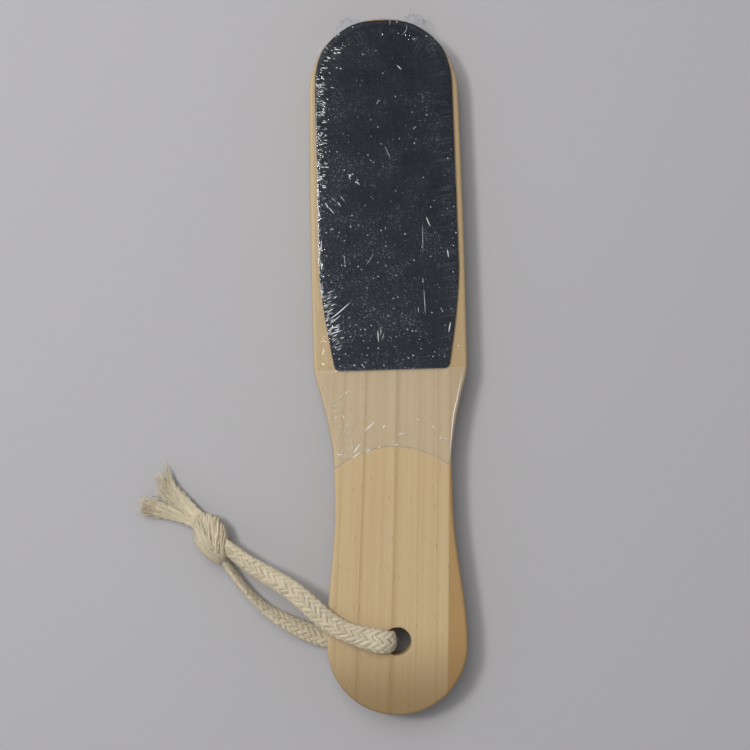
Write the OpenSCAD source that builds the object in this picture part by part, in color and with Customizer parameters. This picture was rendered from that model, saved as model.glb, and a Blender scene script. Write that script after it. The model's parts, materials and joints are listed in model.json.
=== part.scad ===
// Foot file: a pine paddle with an abrasive sheet on each face, a clear shrink
// sleeve over its head, and a knotted cotton cord looped through its handle.
//
// The file lies on its back. One leg of the cord passes under the handle and
// lifts it, so the paddle slopes down a little towards the end of its head.
// Every piece is drawn in the paddle's own frame, with the hole on the Z axis,
// the head towards +Y and the sleeve's rear face at Z = 0. laid() then tips the
// paddle onto the surface that it rests on.

/* [Paddle] */
// Length of the paddle from end to end
paddle_len = 250; // [225:1:280]
// Thickness of the wood
paddle_t = 9; // [7:0.5:12]
// Width of the handle at its round end
handle_w = 50.6; // [46:0.2:54]
// Width of the waist between the handle and the head
waist_w = 42.3; // [36:0.1:45]
// Width of the head at its widest
head_w = 55.2; // [52:0.2:64]
// Width of the head where its round end begins
tip_w = 53.4; // [50:0.2:60]
// Distance from the hole to the start of the waist
waist_start = 50; // [42:1:56]
// Length of the waist
waist_len = 15; // [6:1:20]
// Length of the shoulder, from the waist to the head
shoulder_len = 32; // [24:1:40]
// Length over which the head keeps its full width
head_straight = 24; // [10:1:40]
// Radius of the rounded edges
edge_r = 1.2; // [0.5:0.1:2]

/* [Cord hole] */
// Diameter of the hole for the cord
hole_d = 10; // [9.6:0.1:12]
// Distance from the handle's end to the middle of the hole
hole_to_end = 26.6; // [20:0.2:32]

/* [Abrasive sheets] */
// Length of each sheet
sheet_len = 125; // [105:1:128]
// Gap between a sheet and the end of the paddle
sheet_tip_gap = 0.9; // [0.8:0.1:6]
// Width of a sheet where its round end begins
sheet_tip_w = 49; // [44:0.2:50]
// Width of a sheet at its widest
sheet_w = 50; // [46:0.2:51]
// Width of a sheet at its straight foot
sheet_foot_w = 40.6; // [36:0.2:45]
// Length over which a sheet narrows to its foot
sheet_taper = 37; // [25:1:50]
// Radius of the corners at a sheet's foot
sheet_corner_r = 2; // [1:0.2:4]
// Angle by which the coarse sheet was stuck on askew
coarse_skew = 0.3; // [-0.6:0.1:0.6]
// Thickness of the adhesive under each sheet
adhesive_t = 0.15; // [0.1:0.05:0.3]
// Thickness of a sheet's backing
backing_t = 0.35; // [0.2:0.05:0.6]
// Thickness of the coarse grit coat
coarse_grit_t = 0.55; // [0.3:0.05:0.8]
// Thickness of the fine grit coat
fine_grit_t = 0.25; // [0.1:0.05:0.4]

/* [Shrink sleeve] */
// Thickness of the film
film_t = 0.2; // [0.15:0.05:0.3]
// Gap between the film and what it wraps
film_gap = 0.05; // [0.03:0.01:0.2]
// Radius of the film round the edges of the head
film_edge_r = 0.7; // [0.4:0.1:0.8]
// Distance from the hole to the film's hem at the sides of the waist
hem_side_y = 62.6; // [54:0.2:80]
// Depth of the bow in the hem
hem_bow = 7.3; // [1:0.1:12]
// Length of the straight seam across the end of the head
seam_len = 31; // [16:1:36]
// Distance by which the seam stands past the end of the head
seam_reach = 0.8; // [0.4:0.1:2]

/* [Cord] */
// Thickness of the flat cord
cord_t = 4.2; // [3.4:0.1:4.4]
// Gap between the cord and the wood
cord_gap = 0.3; // [0.25:0.05:0.6]
// Length of the knot
knot_len = 18.4; // [15:0.2:20]
// Width of the knot
knot_w = 12; // [10:0.2:14]
// Height of the knot
knot_h = 10.6; // [9:0.2:12]

/* [Hidden] */

// Cuts run past the faces that they open by this much
overrun = 1;

// Places along the paddle, measured from the hole towards the head
handle_r = handle_w / 2;
waist_r = waist_w / 2;
head_r = head_w / 2;
tip_r = tip_w / 2;
handle_y = handle_r - hole_to_end;
waist_end = waist_start + waist_len;
head_start = waist_end + shoulder_len;
taper_start = head_start + head_straight;
head_end = paddle_len - hole_to_end;
tip_y = head_end - tip_r;

// The shoulder swells with this power of the distance from the waist
shoulder_power = 1.5;
// Each side is averaged over this share of the shoulder, which softens its corner
soften_share = 0.1;
soften = shoulder_len * soften_share;

// Heights of the layers
fine_stack = adhesive_t + backing_t + fine_grit_t;
coarse_stack = adhesive_t + backing_t + coarse_grit_t;
wrap_t = film_gap + film_t;
wood_z = wrap_t + fine_stack;
top_z = wood_z + paddle_t;
mid_z = wood_z + paddle_t / 2;
sleeve_t = top_z + coarse_stack + wrap_t;

// Places along the abrasive sheets
sheet_tip_r = sheet_tip_w / 2;
sheet_r = sheet_w / 2;
sheet_foot_r = sheet_foot_w / 2;
sheet_end = head_end - sheet_tip_gap;
sheet_tip_y = sheet_end - sheet_tip_r;
sheet_foot_y = sheet_end - sheet_len;
sheet_taper_y = sheet_foot_y + sheet_taper;

// Places along the sleeve's seam, which overlaps the sleeve's wall by its own
// thickness
seam_y = head_end + wrap_t + seam_reach;
seam_t = 2 * film_t;
seam_z = sleeve_t / 2;

// How the paddle lies: on the sleeve at the end of the head, and over one leg
// of the cord at the hole. The room is for the slope across the cord's width.
contact_y = head_end + wrap_t - film_edge_r;
slope_room = cord_gap / 2;
hole_height = cord_t + cord_gap + slope_room;
pitch = asin((hole_height - wood_z) / contact_y);
lift = contact_y * sin(pitch);
rear_y = (wood_z + edge_r) * sin(pitch) - hole_to_end * cos(pitch);
front_y = seam_y * cos(pitch) + (seam_z + seam_t / 2) * sin(pitch);
middle_y = (rear_y + front_y) / 2;

// Numbers of steps in the curves
arc_steps = 16;
side_steps = 44;
sheet_side_steps = 14;
corner_steps = 4;
edge_steps = 4;
hem_steps = 12;
// The film's first point on the wood's side stands at least this far past the hem
corner_room = 1;
cord_sides = 12;
knot_rings = 16;
knot_sides = 24;
bore_fn = 96;

// Levels at which the cord's middle lies on the handle and under it
over_z = top_z + cord_gap + cord_t / 2;
under_z = wood_z - cord_gap - cord_t / 2;

// Height, in the paddle's frame, of the surface that the file lies on
function ground(y) = (y - contact_y) * tan(pitch);

// The knot: its middle and the direction of its long axis
knot_x = -66.6;
knot_y = 38.4;
knot_turn = 110;
knot_wraps = 3;
groove_share = 0.07;
knot_z = ground(knot_y) + knot_h / 2 * (1 + groove_share);

// Routes of the cord. Each row is a point x, y, z, then the roll of the flat
// cord about its route, its width and its thickness there.
upper_route = [
    [-2.2, 0, mid_z, 0, 7.4, 4],
    [-2.2, 0, over_z - 5.4, 0, 7.4, 4],
    [-2.2, 0, over_z - 3.1, 0, 7.6, 4],
    [-2.7, 0.1, over_z - 1.1, 0, 7.8, 4],
    [-4.2, 0.4, over_z + 0.4, 0, 8.2, 4],
    [-6.4, 0.9, over_z + 0.9, 0, 8.6, 4],
    [-9.4, 1.6, over_z + 0.7, 0, 8.4, 4],
    [-13, 2.6, over_z + 0.3, 0, 7.8, 4.2],
    [-17.5, 4.1, over_z, 0, 7.4, 4.2],
    [-22, 6.5, over_z, 0, 7.3, 4.2],
    [-26.4, 9.8, over_z, 0, 7.5, 4.2],
    [-30.6, 13.6, over_z - 0.2, 0, 7.6, 4.2],
    [-35, 17.6, over_z - 1.2, 0, 7.5, 4.2],
    [-40, 21.1, over_z - 2.9, 0, 7.2, 4.2],
    [-45, 24, over_z - 4.7, 0, 7, 4],
    [-50, 26.7, over_z - 6.2, -10, 6.8, 4],
    [-54.5, 29.7, over_z - 7.3, -20, 6.4, 3.8],
    [-58.8, 33, over_z - 8.1, -25, 6, 3.6],
    [-61.9, 35.5, over_z - 8.6, -25, 5.6, 3.4],
];

lower_route = [
    [-2.2, 0, mid_z, 0, 7.4, 4],
    [-2.2, 0, under_z + 5.2, 0, 7.4, 4],
    [-2.2, 0, under_z + 3, 0, 7.4, 3.8],
    [-2.7, 0, under_z + 1.4, 0, 7.4, 3.8],
    [-4, 0, under_z + 0.4, 0, 7.4, 3.8],
    [-6, -0.1, under_z + 0.1, 0, 7.4, 3.9],
    [-9, -0.3, under_z, 0, 7.4, 4],
    [-13.5, -0.7, under_z, 0, 7.2, 4.2],
    [-18.5, -0.9, under_z, 0, 7.2, 4.2],
    [-23.5, -0.6, under_z, 0, 7.2, 4.2],
    [-28, 0.5, under_z, 5, 7.2, 4.2],
    [-32.5, 2.3, under_z + 0.4, 20, 7.2, 4],
    [-37, 4.6, under_z + 0.9, 35, 7, 4],
    [-41.5, 7.2, under_z + 1.3, 50, 6.8, 3.8],
    [-45.7, 9.9, under_z + 1.6, 65, 6.6, 3.6],
    [-49.4, 12.9, under_z + 1.8, 75, 6.4, 3.4],
    [-52.7, 16.3, under_z + 1.9, 82, 6.2, 3.2],
    [-55.9, 20, under_z + 1.9, 85, 6, 3],
    [-58.9, 24.2, under_z + 2, 85, 6, 3],
    [-61.6, 28.2, under_z + 2.2, 85, 5.8, 3],
    [-63.8, 32, under_z + 2.6, 85, 5.4, 3],
];

upper_tail_route = [
    [-69.4, 44.4, ground(44) + 5, 0, 4.6, 3.6],
    [-72.7, 47, ground(47) + 4.4, 0, 5, 3.4],
    [-76.4, 50.2, ground(50) + 3.6, 0, 6.4, 3.3],
    [-80.3, 53.4, ground(53) + 2.9, 0, 8.4, 3.2],
    [-84, 56.3, ground(56) + 2.4, 0, 10.6, 3.1],
    [-87.2, 58.7, ground(59) + 2.1, 0, 12.6, 3],
];

lower_tail_route = [
    [-69.8, 41.8, ground(42) + 3.4, 0, 5, 3.8],
    [-73.5, 43.9, ground(44) + 3, 0, 5, 3.6],
    [-77.8, 45.7, ground(46) + 2.5, 0, 5, 3.6],
    [-82.4, 47.3, ground(47) + 2.2, 0, 5.4, 3.4],
    [-87.2, 48.5, ground(48) + 2, 0, 6.6, 3.2],
    [-91.9, 49.2, ground(49) + 1.9, 0, 7.8, 3],
];

// Between these points of a route the sweep adds this many rings
span_steps = 2;
tail_span_steps = 1;
// Weight that settles which way the cord's flat side faces where it stands
// upright in the hole
upright_share = 0.2;

// Shapes of lists

// A share from 0 to 1 of the way from one value to another
function share_of(value, low, high) = max(0, min(1, (value - low) / (high - low)));

// The value at a share of the way from a to b
function mix(a, b, share) = a + (b - a) * share;

// A share eased at both ends
function eased(share) = (1 - cos(180 * share)) / 2;

// A list in the opposite order
function reversed(list) = [for (i = [len(list) - 1:-1:0]) list[i]];

// The items of a list from one index to another
function slice(list, first, last) = [for (i = [first:1:last]) list[i]];

// Lists joined into one
function joined(lists) = [for (list = lists) each list];

// The right side of a shape, mirrored to close it or to carry it to the left
function mirrored(points) = [for (p = reversed(points)) [-p.x, p.y]];

// Points on an arc about a centre
function arc(centre, r, from, to, steps) =
    [for (i = [0:steps]) let (a = mix(from, to, i / steps)) centre + r * [cos(a), sin(a)]];

// Each point of a path pushed outwards, to the right of the way it runs
function pushed(path, distance, closed) =
    let (last = len(path) - 1)
    [for (i = [0:last])
        let (
            before = i > 0 ? path[i - 1] : closed ? path[last] : path[0],
            after = i < last ? path[i + 1] : closed ? path[0] : path[last],
            along = (after - before) / norm(after - before)
        )
        path[i] + distance * [along.y, -along.x]];

// Outline of the paddle

// Half the paddle's width at a distance y from the hole, with a sharp corner
// between the shoulder and the head
function plain_half_w(y) =
    y < waist_start ? mix(handle_r, waist_r, eased(share_of(y, handle_y, waist_start)))
    : y < waist_end ? waist_r
    : y < head_start
        ? mix(waist_r, head_r, pow(share_of(y, waist_end, head_start), shoulder_power))
    : mix(head_r, tip_r, pow(share_of(y, taper_start, tip_y), 2));

// The same with the corner softened
function half_w(y) =
    (plain_half_w(y - soften) + 2 * plain_half_w(y) + plain_half_w(y + soften)) / 4;

// Points up the right side, between two distances from the hole
function side(from, to, steps) =
    [for (i = [0:steps]) let (y = mix(from, to, i / steps)) [half_w(y), y]];

// The paddle's whole outline, counter-clockwise from the handle's end
function paddle_outline() =
    let (
        foot = arc([0, handle_y], handle_r, -90, 0, arc_steps),
        edge = side(handle_y, tip_y, side_steps),
        end = arc([0, tip_y], tip_r, 0, 90, arc_steps),
        right = joined([foot, slice(edge, 1, side_steps - 1), end])
    )
    concat(right, mirrored(slice(right, 1, len(right) - 2)));

// Solids from rings

// Triangles that fill a ring of an even number of points, in strips from its
// right side to its left
function ring_fill(count) =
    let (half = count / 2)
    [for (i = [0:half - 1])
        let (
            left = (count - i) % count,
            next_left = count - i - 1
        )
        each concat(
            i < half - 1 ? [[i, i + 1, next_left]] : [],
            i > 0 ? [[i, next_left, left]] : []
        )];

// Triangles between rings of a like number of points, and flat ends
module loft(rings) {
    count = len(rings[0]);
    last = len(rings) - 1;
    walls = [for (k = [0:last - 1]) for (i = [0:count - 1])
        let (
            a = k * count + i,
            b = k * count + (i + 1) % count
        )
        each [[a, a + count, b + count], [a, b + count, b]]];
    bottom = ring_fill(count);
    top = [for (face = bottom) [for (i = reversed(face)) i + last * count]];
    polyhedron(joined(rings), concat(bottom, walls, top), convexity = 8);
}

// Inset and height of each ring round an edge of radius r, from a flat face at
// height 0 up to the wall
function edge_rings(r) =
    [for (k = [0:edge_steps])
        let (a = 90 * k / edge_steps)
        [r * (1 - sin(a)), r * (1 - cos(a))]];

// A flat body with both edges rounded, as pairs of inset and height
function body_rings(low, high, r) = concat(
    [for (e = edge_rings(r)) [e[0], low + e[1]]],
    [for (e = reversed(edge_rings(r))) [e[0], high - e[1]]]
);

// A path raised to a height
function raised(path, z) = [for (p = path) [p.x, p.y, z]];

// The paddle lying on its back
module laid() {
    translate([0, -middle_y, lift])
        rotate([-pitch, 0, 0])
            children();
}

// Wood

module paddle_blank() {
    outline = paddle_outline();
    loft([for (ring = body_rings(wood_z, top_z, edge_r))
        raised(pushed(outline, -ring[0], true), ring[1])]);
}

module cord_hole() {
    translate([0, 0, wood_z - overrun])
        cylinder(h = paddle_t + 2 * overrun, d = hole_d, $fn = bore_fn);
}

module paddle() {
    color([0.82, 0.72, 0.53])
        laid()
            difference() {
                paddle_blank();
                cord_hole();
            }
}

// Abrasive sheets

// Half a sheet's width at a distance y from the hole
function sheet_half_w(y) =
    y > sheet_taper_y ? mix(sheet_r, sheet_tip_r, share_of(y, sheet_taper_y, sheet_tip_y))
    : mix(sheet_r, sheet_foot_r, pow(share_of(y, sheet_taper_y, sheet_foot_y), shoulder_power));

function sheet_outline() =
    let (
        side_y = sheet_foot_y + sheet_corner_r,
        corner_x = sheet_half_w(side_y) - sheet_corner_r,
        corner = arc([corner_x, side_y], sheet_corner_r, -90, 0, corner_steps),
        edge = [for (i = [1:sheet_side_steps - 1])
            let (y = mix(side_y, sheet_tip_y, i / sheet_side_steps))
            [sheet_half_w(y), y]],
        end = arc([0, sheet_tip_y], sheet_tip_r, 0, 90, arc_steps),
        right = joined([corner, edge, end])
    )
    concat(right, mirrored(slice(right, 0, len(right) - 2)));

// One layer of a sheet from height z, turned askew about its round end
module sheet_layer(z, thickness, skew = 0) {
    translate([0, sheet_tip_y, z])
        rotate([0, 0, skew])
            translate([0, -sheet_tip_y, 0])
                linear_extrude(height = thickness)
                    polygon(sheet_outline());
}

module coarse_adhesive() {
    color([0.78, 0.72, 0.58])
        laid()
            sheet_layer(top_z, adhesive_t, coarse_skew);
}

module coarse_backing() {
    color([0.22, 0.22, 0.23])
        laid()
            sheet_layer(top_z + adhesive_t, backing_t, coarse_skew);
}

module coarse_grit() {
    color([0.14, 0.16, 0.18])
        laid()
            sheet_layer(top_z + adhesive_t + backing_t, coarse_grit_t, coarse_skew);
}

module fine_adhesive() {
    color([0.78, 0.72, 0.58])
        laid()
            sheet_layer(wood_z - adhesive_t, adhesive_t);
}

module fine_backing() {
    color([0.3, 0.3, 0.31])
        laid()
            sheet_layer(wood_z - adhesive_t - backing_t, backing_t);
}

module fine_grit() {
    color([0.24, 0.26, 0.28])
        laid()
            sheet_layer(wrap_t, fine_grit_t);
}

// Shrink sleeve

// The head's outline from the hem on the right round to the hem on the left,
// through the paddle's own points, so that the film runs level with its faces
function sleeve_path(distance) =
    let (
        edge = slice(side(handle_y, tip_y, side_steps), 0, side_steps - 1),
        wrapped = [for (p = edge) if (p.y > hem_side_y + corner_room) p],
        end = arc([0, tip_y], tip_r, 0, 90, arc_steps),
        right = joined([[[half_w(hem_side_y), hem_side_y]], wrapped, end])
    )
    pushed(concat(right, mirrored(slice(right, 0, len(right) - 2))), distance, false);

// The hem's inner points from left to right, for a path that ends at half_x
function hem_points(half_x) =
    [for (i = [1:hem_steps - 1])
        let (x = mix(-1, 1, i / hem_steps))
        [half_x * x, hem_side_y + hem_bow * (1 - x * x)]];

// One skin of the film: its rings, then the hem's points below and above
function skin_points(distance, low, high, r) =
    let (
        rings = body_rings(low, high, r),
        paths = [for (ring = rings) raised(sleeve_path(distance - ring[0]), ring[1])],
        hem = hem_points(paths[0][0].x)
    )
    joined([joined(paths), raised(hem, low), raised(hem, high)]);

module sleeve_shell() {
    count = len(sleeve_path(0));
    last = 2 * edge_steps + 1;
    hem_count = hem_steps - 1;
    low_hem = (last + 1) * count;
    high_hem = low_hem + hem_count;
    inner = high_hem + hem_count;

    outer_skin = skin_points(wrap_t, 0, sleeve_t, film_edge_r);
    inner_skin = skin_points(film_gap, film_t, sleeve_t - film_t, film_edge_r - film_t);

    low_face = concat([for (i = [0:count - 1]) i], [for (j = [0:hem_count - 1]) low_hem + j]);
    high_face = concat(
        [for (i = [0:count - 1]) last * count + i],
        [for (j = [0:hem_count - 1]) high_hem + j]
    );
    walls = [for (k = [0:last - 1]) for (i = [0:count - 2])
        let (a = k * count + i)
        each [[a, a + count, a + count + 1], [a, a + count + 1, a + 1]]];
    // The edge of a skin along the hem, from the lower right end upwards
    hem_loop = joined([
        [for (k = [0:last]) k * count],
        [for (j = [hem_count - 1:-1:0]) high_hem + j],
        [for (k = [last:-1:0]) k * count + count - 1],
        [for (j = [0:hem_count - 1]) low_hem + j]
    ]);
    rim = [for (j = [0:len(hem_loop) - 1])
        let (
            a = hem_loop[j],
            b = hem_loop[(j + 1) % len(hem_loop)]
        )
        each [[b, a, a + inner], [b, a + inner, b + inner]]];
    outer_faces = concat([low_face, reversed(high_face)], walls);
    inner_faces = [for (face = outer_faces) [for (i = reversed(face)) i + inner]];
    polyhedron(concat(outer_skin, inner_skin), joined([outer_faces, inner_faces, rim]), convexity = 8);
}

// The flat seam left where the sleeve was sealed across the end of the head
module sleeve_seam() {
    wall_r = tip_r + wrap_t - film_t / 2;
    end_angle = acos(seam_len / 2 / wall_r);
    points = concat(
        arc([0, tip_y], wall_r, 180 - end_angle, end_angle, arc_steps),
        [[seam_len / 2, seam_y], [-seam_len / 2, seam_y]]
    );
    translate([0, 0, seam_z - seam_t / 2])
        linear_extrude(height = seam_t)
            polygon(points);
}

module shrink_sleeve() {
    color([0.9, 0.94, 0.97, 0.3])
        laid() {
            sleeve_shell();
            sleeve_seam();
        }
}

// Cord

// The point at share t between rows b and c of a route, on a smooth curve
// that also passes through rows a and d
function curve_point(a, b, c, d, t) =
    (2 * b + (c - a) * t + (2 * a - 5 * b + 4 * c - d) * t * t
        + (3 * b - a - 3 * c + d) * t * t * t) / 2;

// A route with rows added between its own
function smooth(route, steps) =
    let (last = len(route) - 1)
    concat(
        [for (i = [0:last - 1]) for (j = [0:steps - 1])
            curve_point(
                route[max(i - 1, 0)],
                route[i],
                route[i + 1],
                route[min(i + 2, last)],
                j / steps
            )],
        [route[last]]
    );

function place(row) = [row[0], row[1], row[2]];
function unit(v) = v / norm(v);

// One ring of the cord: an ellipse square to the route
function cord_ring(row, along) =
    let (
        level = cross(along, [0, 0, 1]) + upright_share * [0, 1, 0],
        wide = unit(level - (level * along) * along),
        thick = cross(along, wide),
        roll = row[3],
        turned_wide = wide * cos(roll) + thick * sin(roll),
        turned_thick = thick * cos(roll) - wide * sin(roll)
    )
    [for (i = [0:cord_sides - 1])
        let (a = 360 * i / cord_sides)
        place(row) + turned_wide * cos(a) * row[4] / 2 + turned_thick * sin(a) * row[5] / 2];

module cord(route, steps) {
    rows = smooth(route, steps);
    last = len(rows) - 1;
    loft([for (i = [0:last])
        cord_ring(rows[i], unit(place(rows[min(i + 1, last)]) - place(rows[max(i - 1, 0)])))]);
}

module cord_colour() {
    color([0.84, 0.8, 0.7])
        laid()
            children();
}

module cord_upper_leg() {
    cord_colour()
        cord(upper_route, span_steps);
}

module cord_lower_leg() {
    cord_colour()
        cord(lower_route, span_steps);
}

// The knot is a barrel with the wraps of the cord as ridges winding round it
module cord_knot() {
    ends = 90 / knot_rings;
    cord_colour()
        translate([knot_x, knot_y, knot_z])
            rotate([0, 90, knot_turn])
                loft([for (k = [0:knot_rings])
                    let (lat = mix(ends - 90, 90 - ends, k / knot_rings))
                    [for (i = [0:knot_sides - 1])
                        let (
                            lon = 360 * i / knot_sides,
                            r = (1 + groove_share * sin(2 * knot_wraps * lat + lon)) * cos(lat)
                        )
                        [r * cos(lon) * knot_h / 2, r * sin(lon) * knot_w / 2, sin(lat) * knot_len / 2]]]);
}

module cord_upper_tail() {
    cord_colour()
        cord(upper_tail_route, tail_span_steps);
}

module cord_lower_tail() {
    cord_colour()
        cord(lower_tail_route, tail_span_steps);
}

paddle();
coarse_adhesive();
coarse_backing();
coarse_grit();
fine_adhesive();
fine_backing();
fine_grit();
shrink_sleeve();
cord_upper_leg();
cord_lower_leg();
cord_knot();
cord_upper_tail();
cord_lower_tail();
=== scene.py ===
# %% [markdown]
# # A wooden foot file
# This lesson dresses a foot file whose sizes come from a CAD model: a pine paddle with
# an abrasive sheet on each face, a clear shrink film round its head, and a knotted
# cotton cord through its handle. The CAD model is loaded first as a fixed frame, so
# that each new piece goes exactly where the real one is.

# %% Load the CAD model
import json
import math

import bpy
import numpy as np
from mathutils import Matrix


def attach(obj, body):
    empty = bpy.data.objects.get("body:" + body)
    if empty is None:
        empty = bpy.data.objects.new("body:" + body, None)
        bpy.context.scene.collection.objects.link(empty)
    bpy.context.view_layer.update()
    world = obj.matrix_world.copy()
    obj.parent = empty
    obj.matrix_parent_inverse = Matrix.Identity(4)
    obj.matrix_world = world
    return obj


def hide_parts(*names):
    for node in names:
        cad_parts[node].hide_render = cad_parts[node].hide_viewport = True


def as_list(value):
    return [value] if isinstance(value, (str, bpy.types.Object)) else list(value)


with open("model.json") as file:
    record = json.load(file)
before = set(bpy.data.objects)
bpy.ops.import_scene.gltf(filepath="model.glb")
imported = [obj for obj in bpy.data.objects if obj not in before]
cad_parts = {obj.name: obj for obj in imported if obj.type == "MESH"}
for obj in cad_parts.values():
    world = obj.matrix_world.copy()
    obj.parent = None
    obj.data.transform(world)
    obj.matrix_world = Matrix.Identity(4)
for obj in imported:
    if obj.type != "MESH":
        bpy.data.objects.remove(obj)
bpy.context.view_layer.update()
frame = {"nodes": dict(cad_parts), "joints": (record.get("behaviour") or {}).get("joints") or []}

print("CAD pieces:", ", ".join(sorted(frame["nodes"])))

# %% [markdown]
# ## The paddle's own frame
# The paddle doesn't lie level, because the cord lifts its handle a little. Shapes are
# easier to describe in the paddle's own frame: millimetres, the hole on the Z axis, the
# head towards +Y, and the wood's lower face at `wood_z`, which leaves room for the fine
# sheet and the film under it. The loop's hinge in the CAD model gives the hole's middle
# and its axis, and `laid` carries points from that frame to where the paddle lies.

# %% Set the paddle in its place
mm = 0.001
wood_z = 1
paddle_t = 9
top_z = wood_z + paddle_t
mid_z = wood_z + paddle_t / 2

swing = frame["joints"][0]
hole_middle = np.array(swing["pos_m"])
up = np.array(swing["axis"])
right = np.array([1.0, 0.0, 0.0])
ahead = np.cross(up, right)


def laid(points):
    """The hole's middle, plus each coordinate times its own axis."""
    x, y, z = np.moveaxis(np.asarray(points, float), -1, 0)[..., None]
    return hole_middle + mm * (x * right + y * ahead + (z - mid_z) * up)


print("middle of the hole:", hole_middle.round(4))

# %% [markdown]
# ## The camera
# The picture was taken square to the paddle's face, with the camera turned a little. One
# pixel is a little under 0.36 mm on the upper face, so the lens follows from the camera's
# height and from the width of the picture.

# %% Set up the camera
photo_pixels = 750
pixel_size = 0.3582
camera_height = 500
sensor_width = 36
camera_turn = -1.46
aim = np.array([-5.6, 95.7, top_z])

camera_data = bpy.data.cameras.new("camera")
camera_data.sensor_width = sensor_width
camera_data.lens = sensor_width * camera_height / (photo_pixels * pixel_size)
camera = bpy.data.objects.new("camera", camera_data)
bpy.context.scene.collection.objects.link(camera)
turn = math.radians(camera_turn)
picture_right = right * math.cos(turn) + ahead * math.sin(turn)
picture_up = ahead * math.cos(turn) - right * math.sin(turn)
facing = Matrix(np.stack([picture_right, picture_up, up], axis=1).tolist()).to_4x4()
camera.matrix_world = Matrix.Translation(laid(aim + [0, 0, camera_height])) @ facing
bpy.context.scene.camera = camera
bpy.context.scene.view_settings.view_transform = "Standard"
print("lens:", round(camera_data.lens, 1), "mm")

# %% [markdown]
# ## Materials as sums
# A material is a net of nodes, and long nets are hard to read. `Term` wraps one socket,
# so that Python's own operators add the Math nodes. What is worked out in this way feeds
# only the colour, the roughness, the bump and the share between two shaders.

# %% Write shader sums in Python
def tone(red, green, blue):
    """A picture's 0 to 255 colour made linear: ((c + 0.055) / 1.055) to the power 2.4."""
    linear = ((np.array([red, green, blue]) / 255 + 0.055) / 1.055) ** 2.4
    return (*linear.tolist(), 1.0)


class Term:
    """One socket's value. Sums on it add nodes to its material."""

    def __init__(self, finish, socket):
        self.finish = finish
        self.socket = socket

    def maths(self, operation, *others):
        """One Math node on this value and the others."""
        values = dict(enumerate((self, *others)))
        return self.finish.node("ShaderNodeMath", {"operation": operation}, values)

    def __add__(self, other):
        return self.maths("ADD", other)

    def __sub__(self, other):
        return self.maths("SUBTRACT", other)

    def __rsub__(self, other):
        return self * -1 + other

    def __mul__(self, other):
        return self.maths("MULTIPLY", other)

    def __truediv__(self, other):
        return self.maths("DIVIDE", other)

    def __pow__(self, other):
        return self.maths("POWER", other)

    __radd__ = __add__
    __rmul__ = __mul__

    def wave(self):
        """The value's sine."""
        return self.maths("SINE")

    def at_least(self, low):
        """The greater of the value and a low end."""
        return self.maths("MAXIMUM", low)

    def at_most(self, high):
        """The lesser of the value and a high end."""
        return self.maths("MINIMUM", high)

    def rise(self, low, high):
        """A smooth step from 0 at low to 1 at high."""
        settings = {"interpolation_type": "SMOOTHSTEP"}
        return self.finish.node("ShaderNodeMapRange", settings, {0: self, 1: low, 2: high})

    def part(self, axis):
        """One coordinate of a vector."""
        return self.finish.node("ShaderNodeSeparateXYZ", {}, {0: self}, axis)

    def stretched(self, factors):
        """A vector times a factor for each axis."""
        settings = {"operation": "MULTIPLY"}
        return self.finish.node("ShaderNodeVectorMath", settings, {0: self, 1: factors})


print("mid grey in a picture is", round(tone(128, 128, 128)[0], 3), "of full light")

# %% [markdown]
# ## Nodes by name
# Any node that isn't a sum comes from `Finish.node`, which takes its type, its settings
# and the values or links of its sockets. The shorter calls below it are the nodes that
# every finish here needs: a place, noise, a mix of two colours, a bump and a shader.

# %% Build finishes node by node
class Finish:
    """A material, built node by node. The Mix node keeps a socket for each kind of value,
    and these are the numbers of those for colours."""

    mix_share, mix_a, mix_b, mix_result = 0, 6, 7, 2

    def __init__(self, name):
        self.material = bpy.data.materials.new(name)
        self.material.use_nodes = True
        self.tree = self.material.node_tree
        self.tree.nodes.clear()

    @classmethod
    def over(cls, tree):
        """The same calls on a net of nodes that is already there, such as the world's."""
        finish = cls.__new__(cls)
        finish.tree = tree
        return finish

    def node(self, kind, settings, sockets, output=0):
        """Any node: its settings first, then the values or links of its sockets."""
        made = self.tree.nodes.new(kind)
        for name, value in settings.items():
            setattr(made, name, value)
        for name, value in sockets.items():
            if isinstance(value, Term):
                self.tree.links.new(value.socket, made.inputs[name])
            else:
                made.inputs[name].default_value = value
        return Term(self, made.outputs[output])

    def vector(self, x, y, z):
        """Three values as one vector."""
        return self.node("ShaderNodeCombineXYZ", {}, {0: x, 1: y, 2: z})

    def place(self):
        """Object coordinates, which are the row's own metres."""
        return self.node("ShaderNodeTexCoord", {}, {}, "Object")

    def attribute(self, name, output="Vector"):
        """A value that the mesh keeps for each of its points."""
        return self.node("ShaderNodeAttribute", {"attribute_name": name}, {}, output)

    def noise(self, vector, scale, detail=2.0, roughness=0.5):
        """Soft random values from 0 to 1, mostly near a half."""
        sockets = {"Vector": vector, "Scale": scale, "Detail": detail, "Roughness": roughness}
        return self.node("ShaderNodeTexNoise", {}, sockets)

    def mixed(self, share, first, second):
        """The first colour, gone over to the second by a share."""
        sockets = {self.mix_share: share, self.mix_a: first, self.mix_b: second}
        return self.node("ShaderNodeMix", {"data_type": "RGBA"}, sockets, self.mix_result)

    def bump(self, height, distance):
        """The normal of a surface whose height is a value times a distance."""
        return self.node("ShaderNodeBump", {}, {"Height": height, "Distance": distance})

    def principled(self, sockets):
        """The shader for anything that isn't clear."""
        return self.node("ShaderNodeBsdfPrincipled", {}, sockets)

    def share_between(self, share, first, second):
        """Two shaders, blended by a share."""
        return self.node("ShaderNodeMixShader", {}, {0: share, 1: first, 2: second})

    def surface(self, shader):
        """The finished material, with this shader on it."""
        end = self.tree.nodes.new("ShaderNodeOutputMaterial")
        self.tree.links.new(shader.socket, end.inputs["Surface"])
        return self.material


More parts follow.
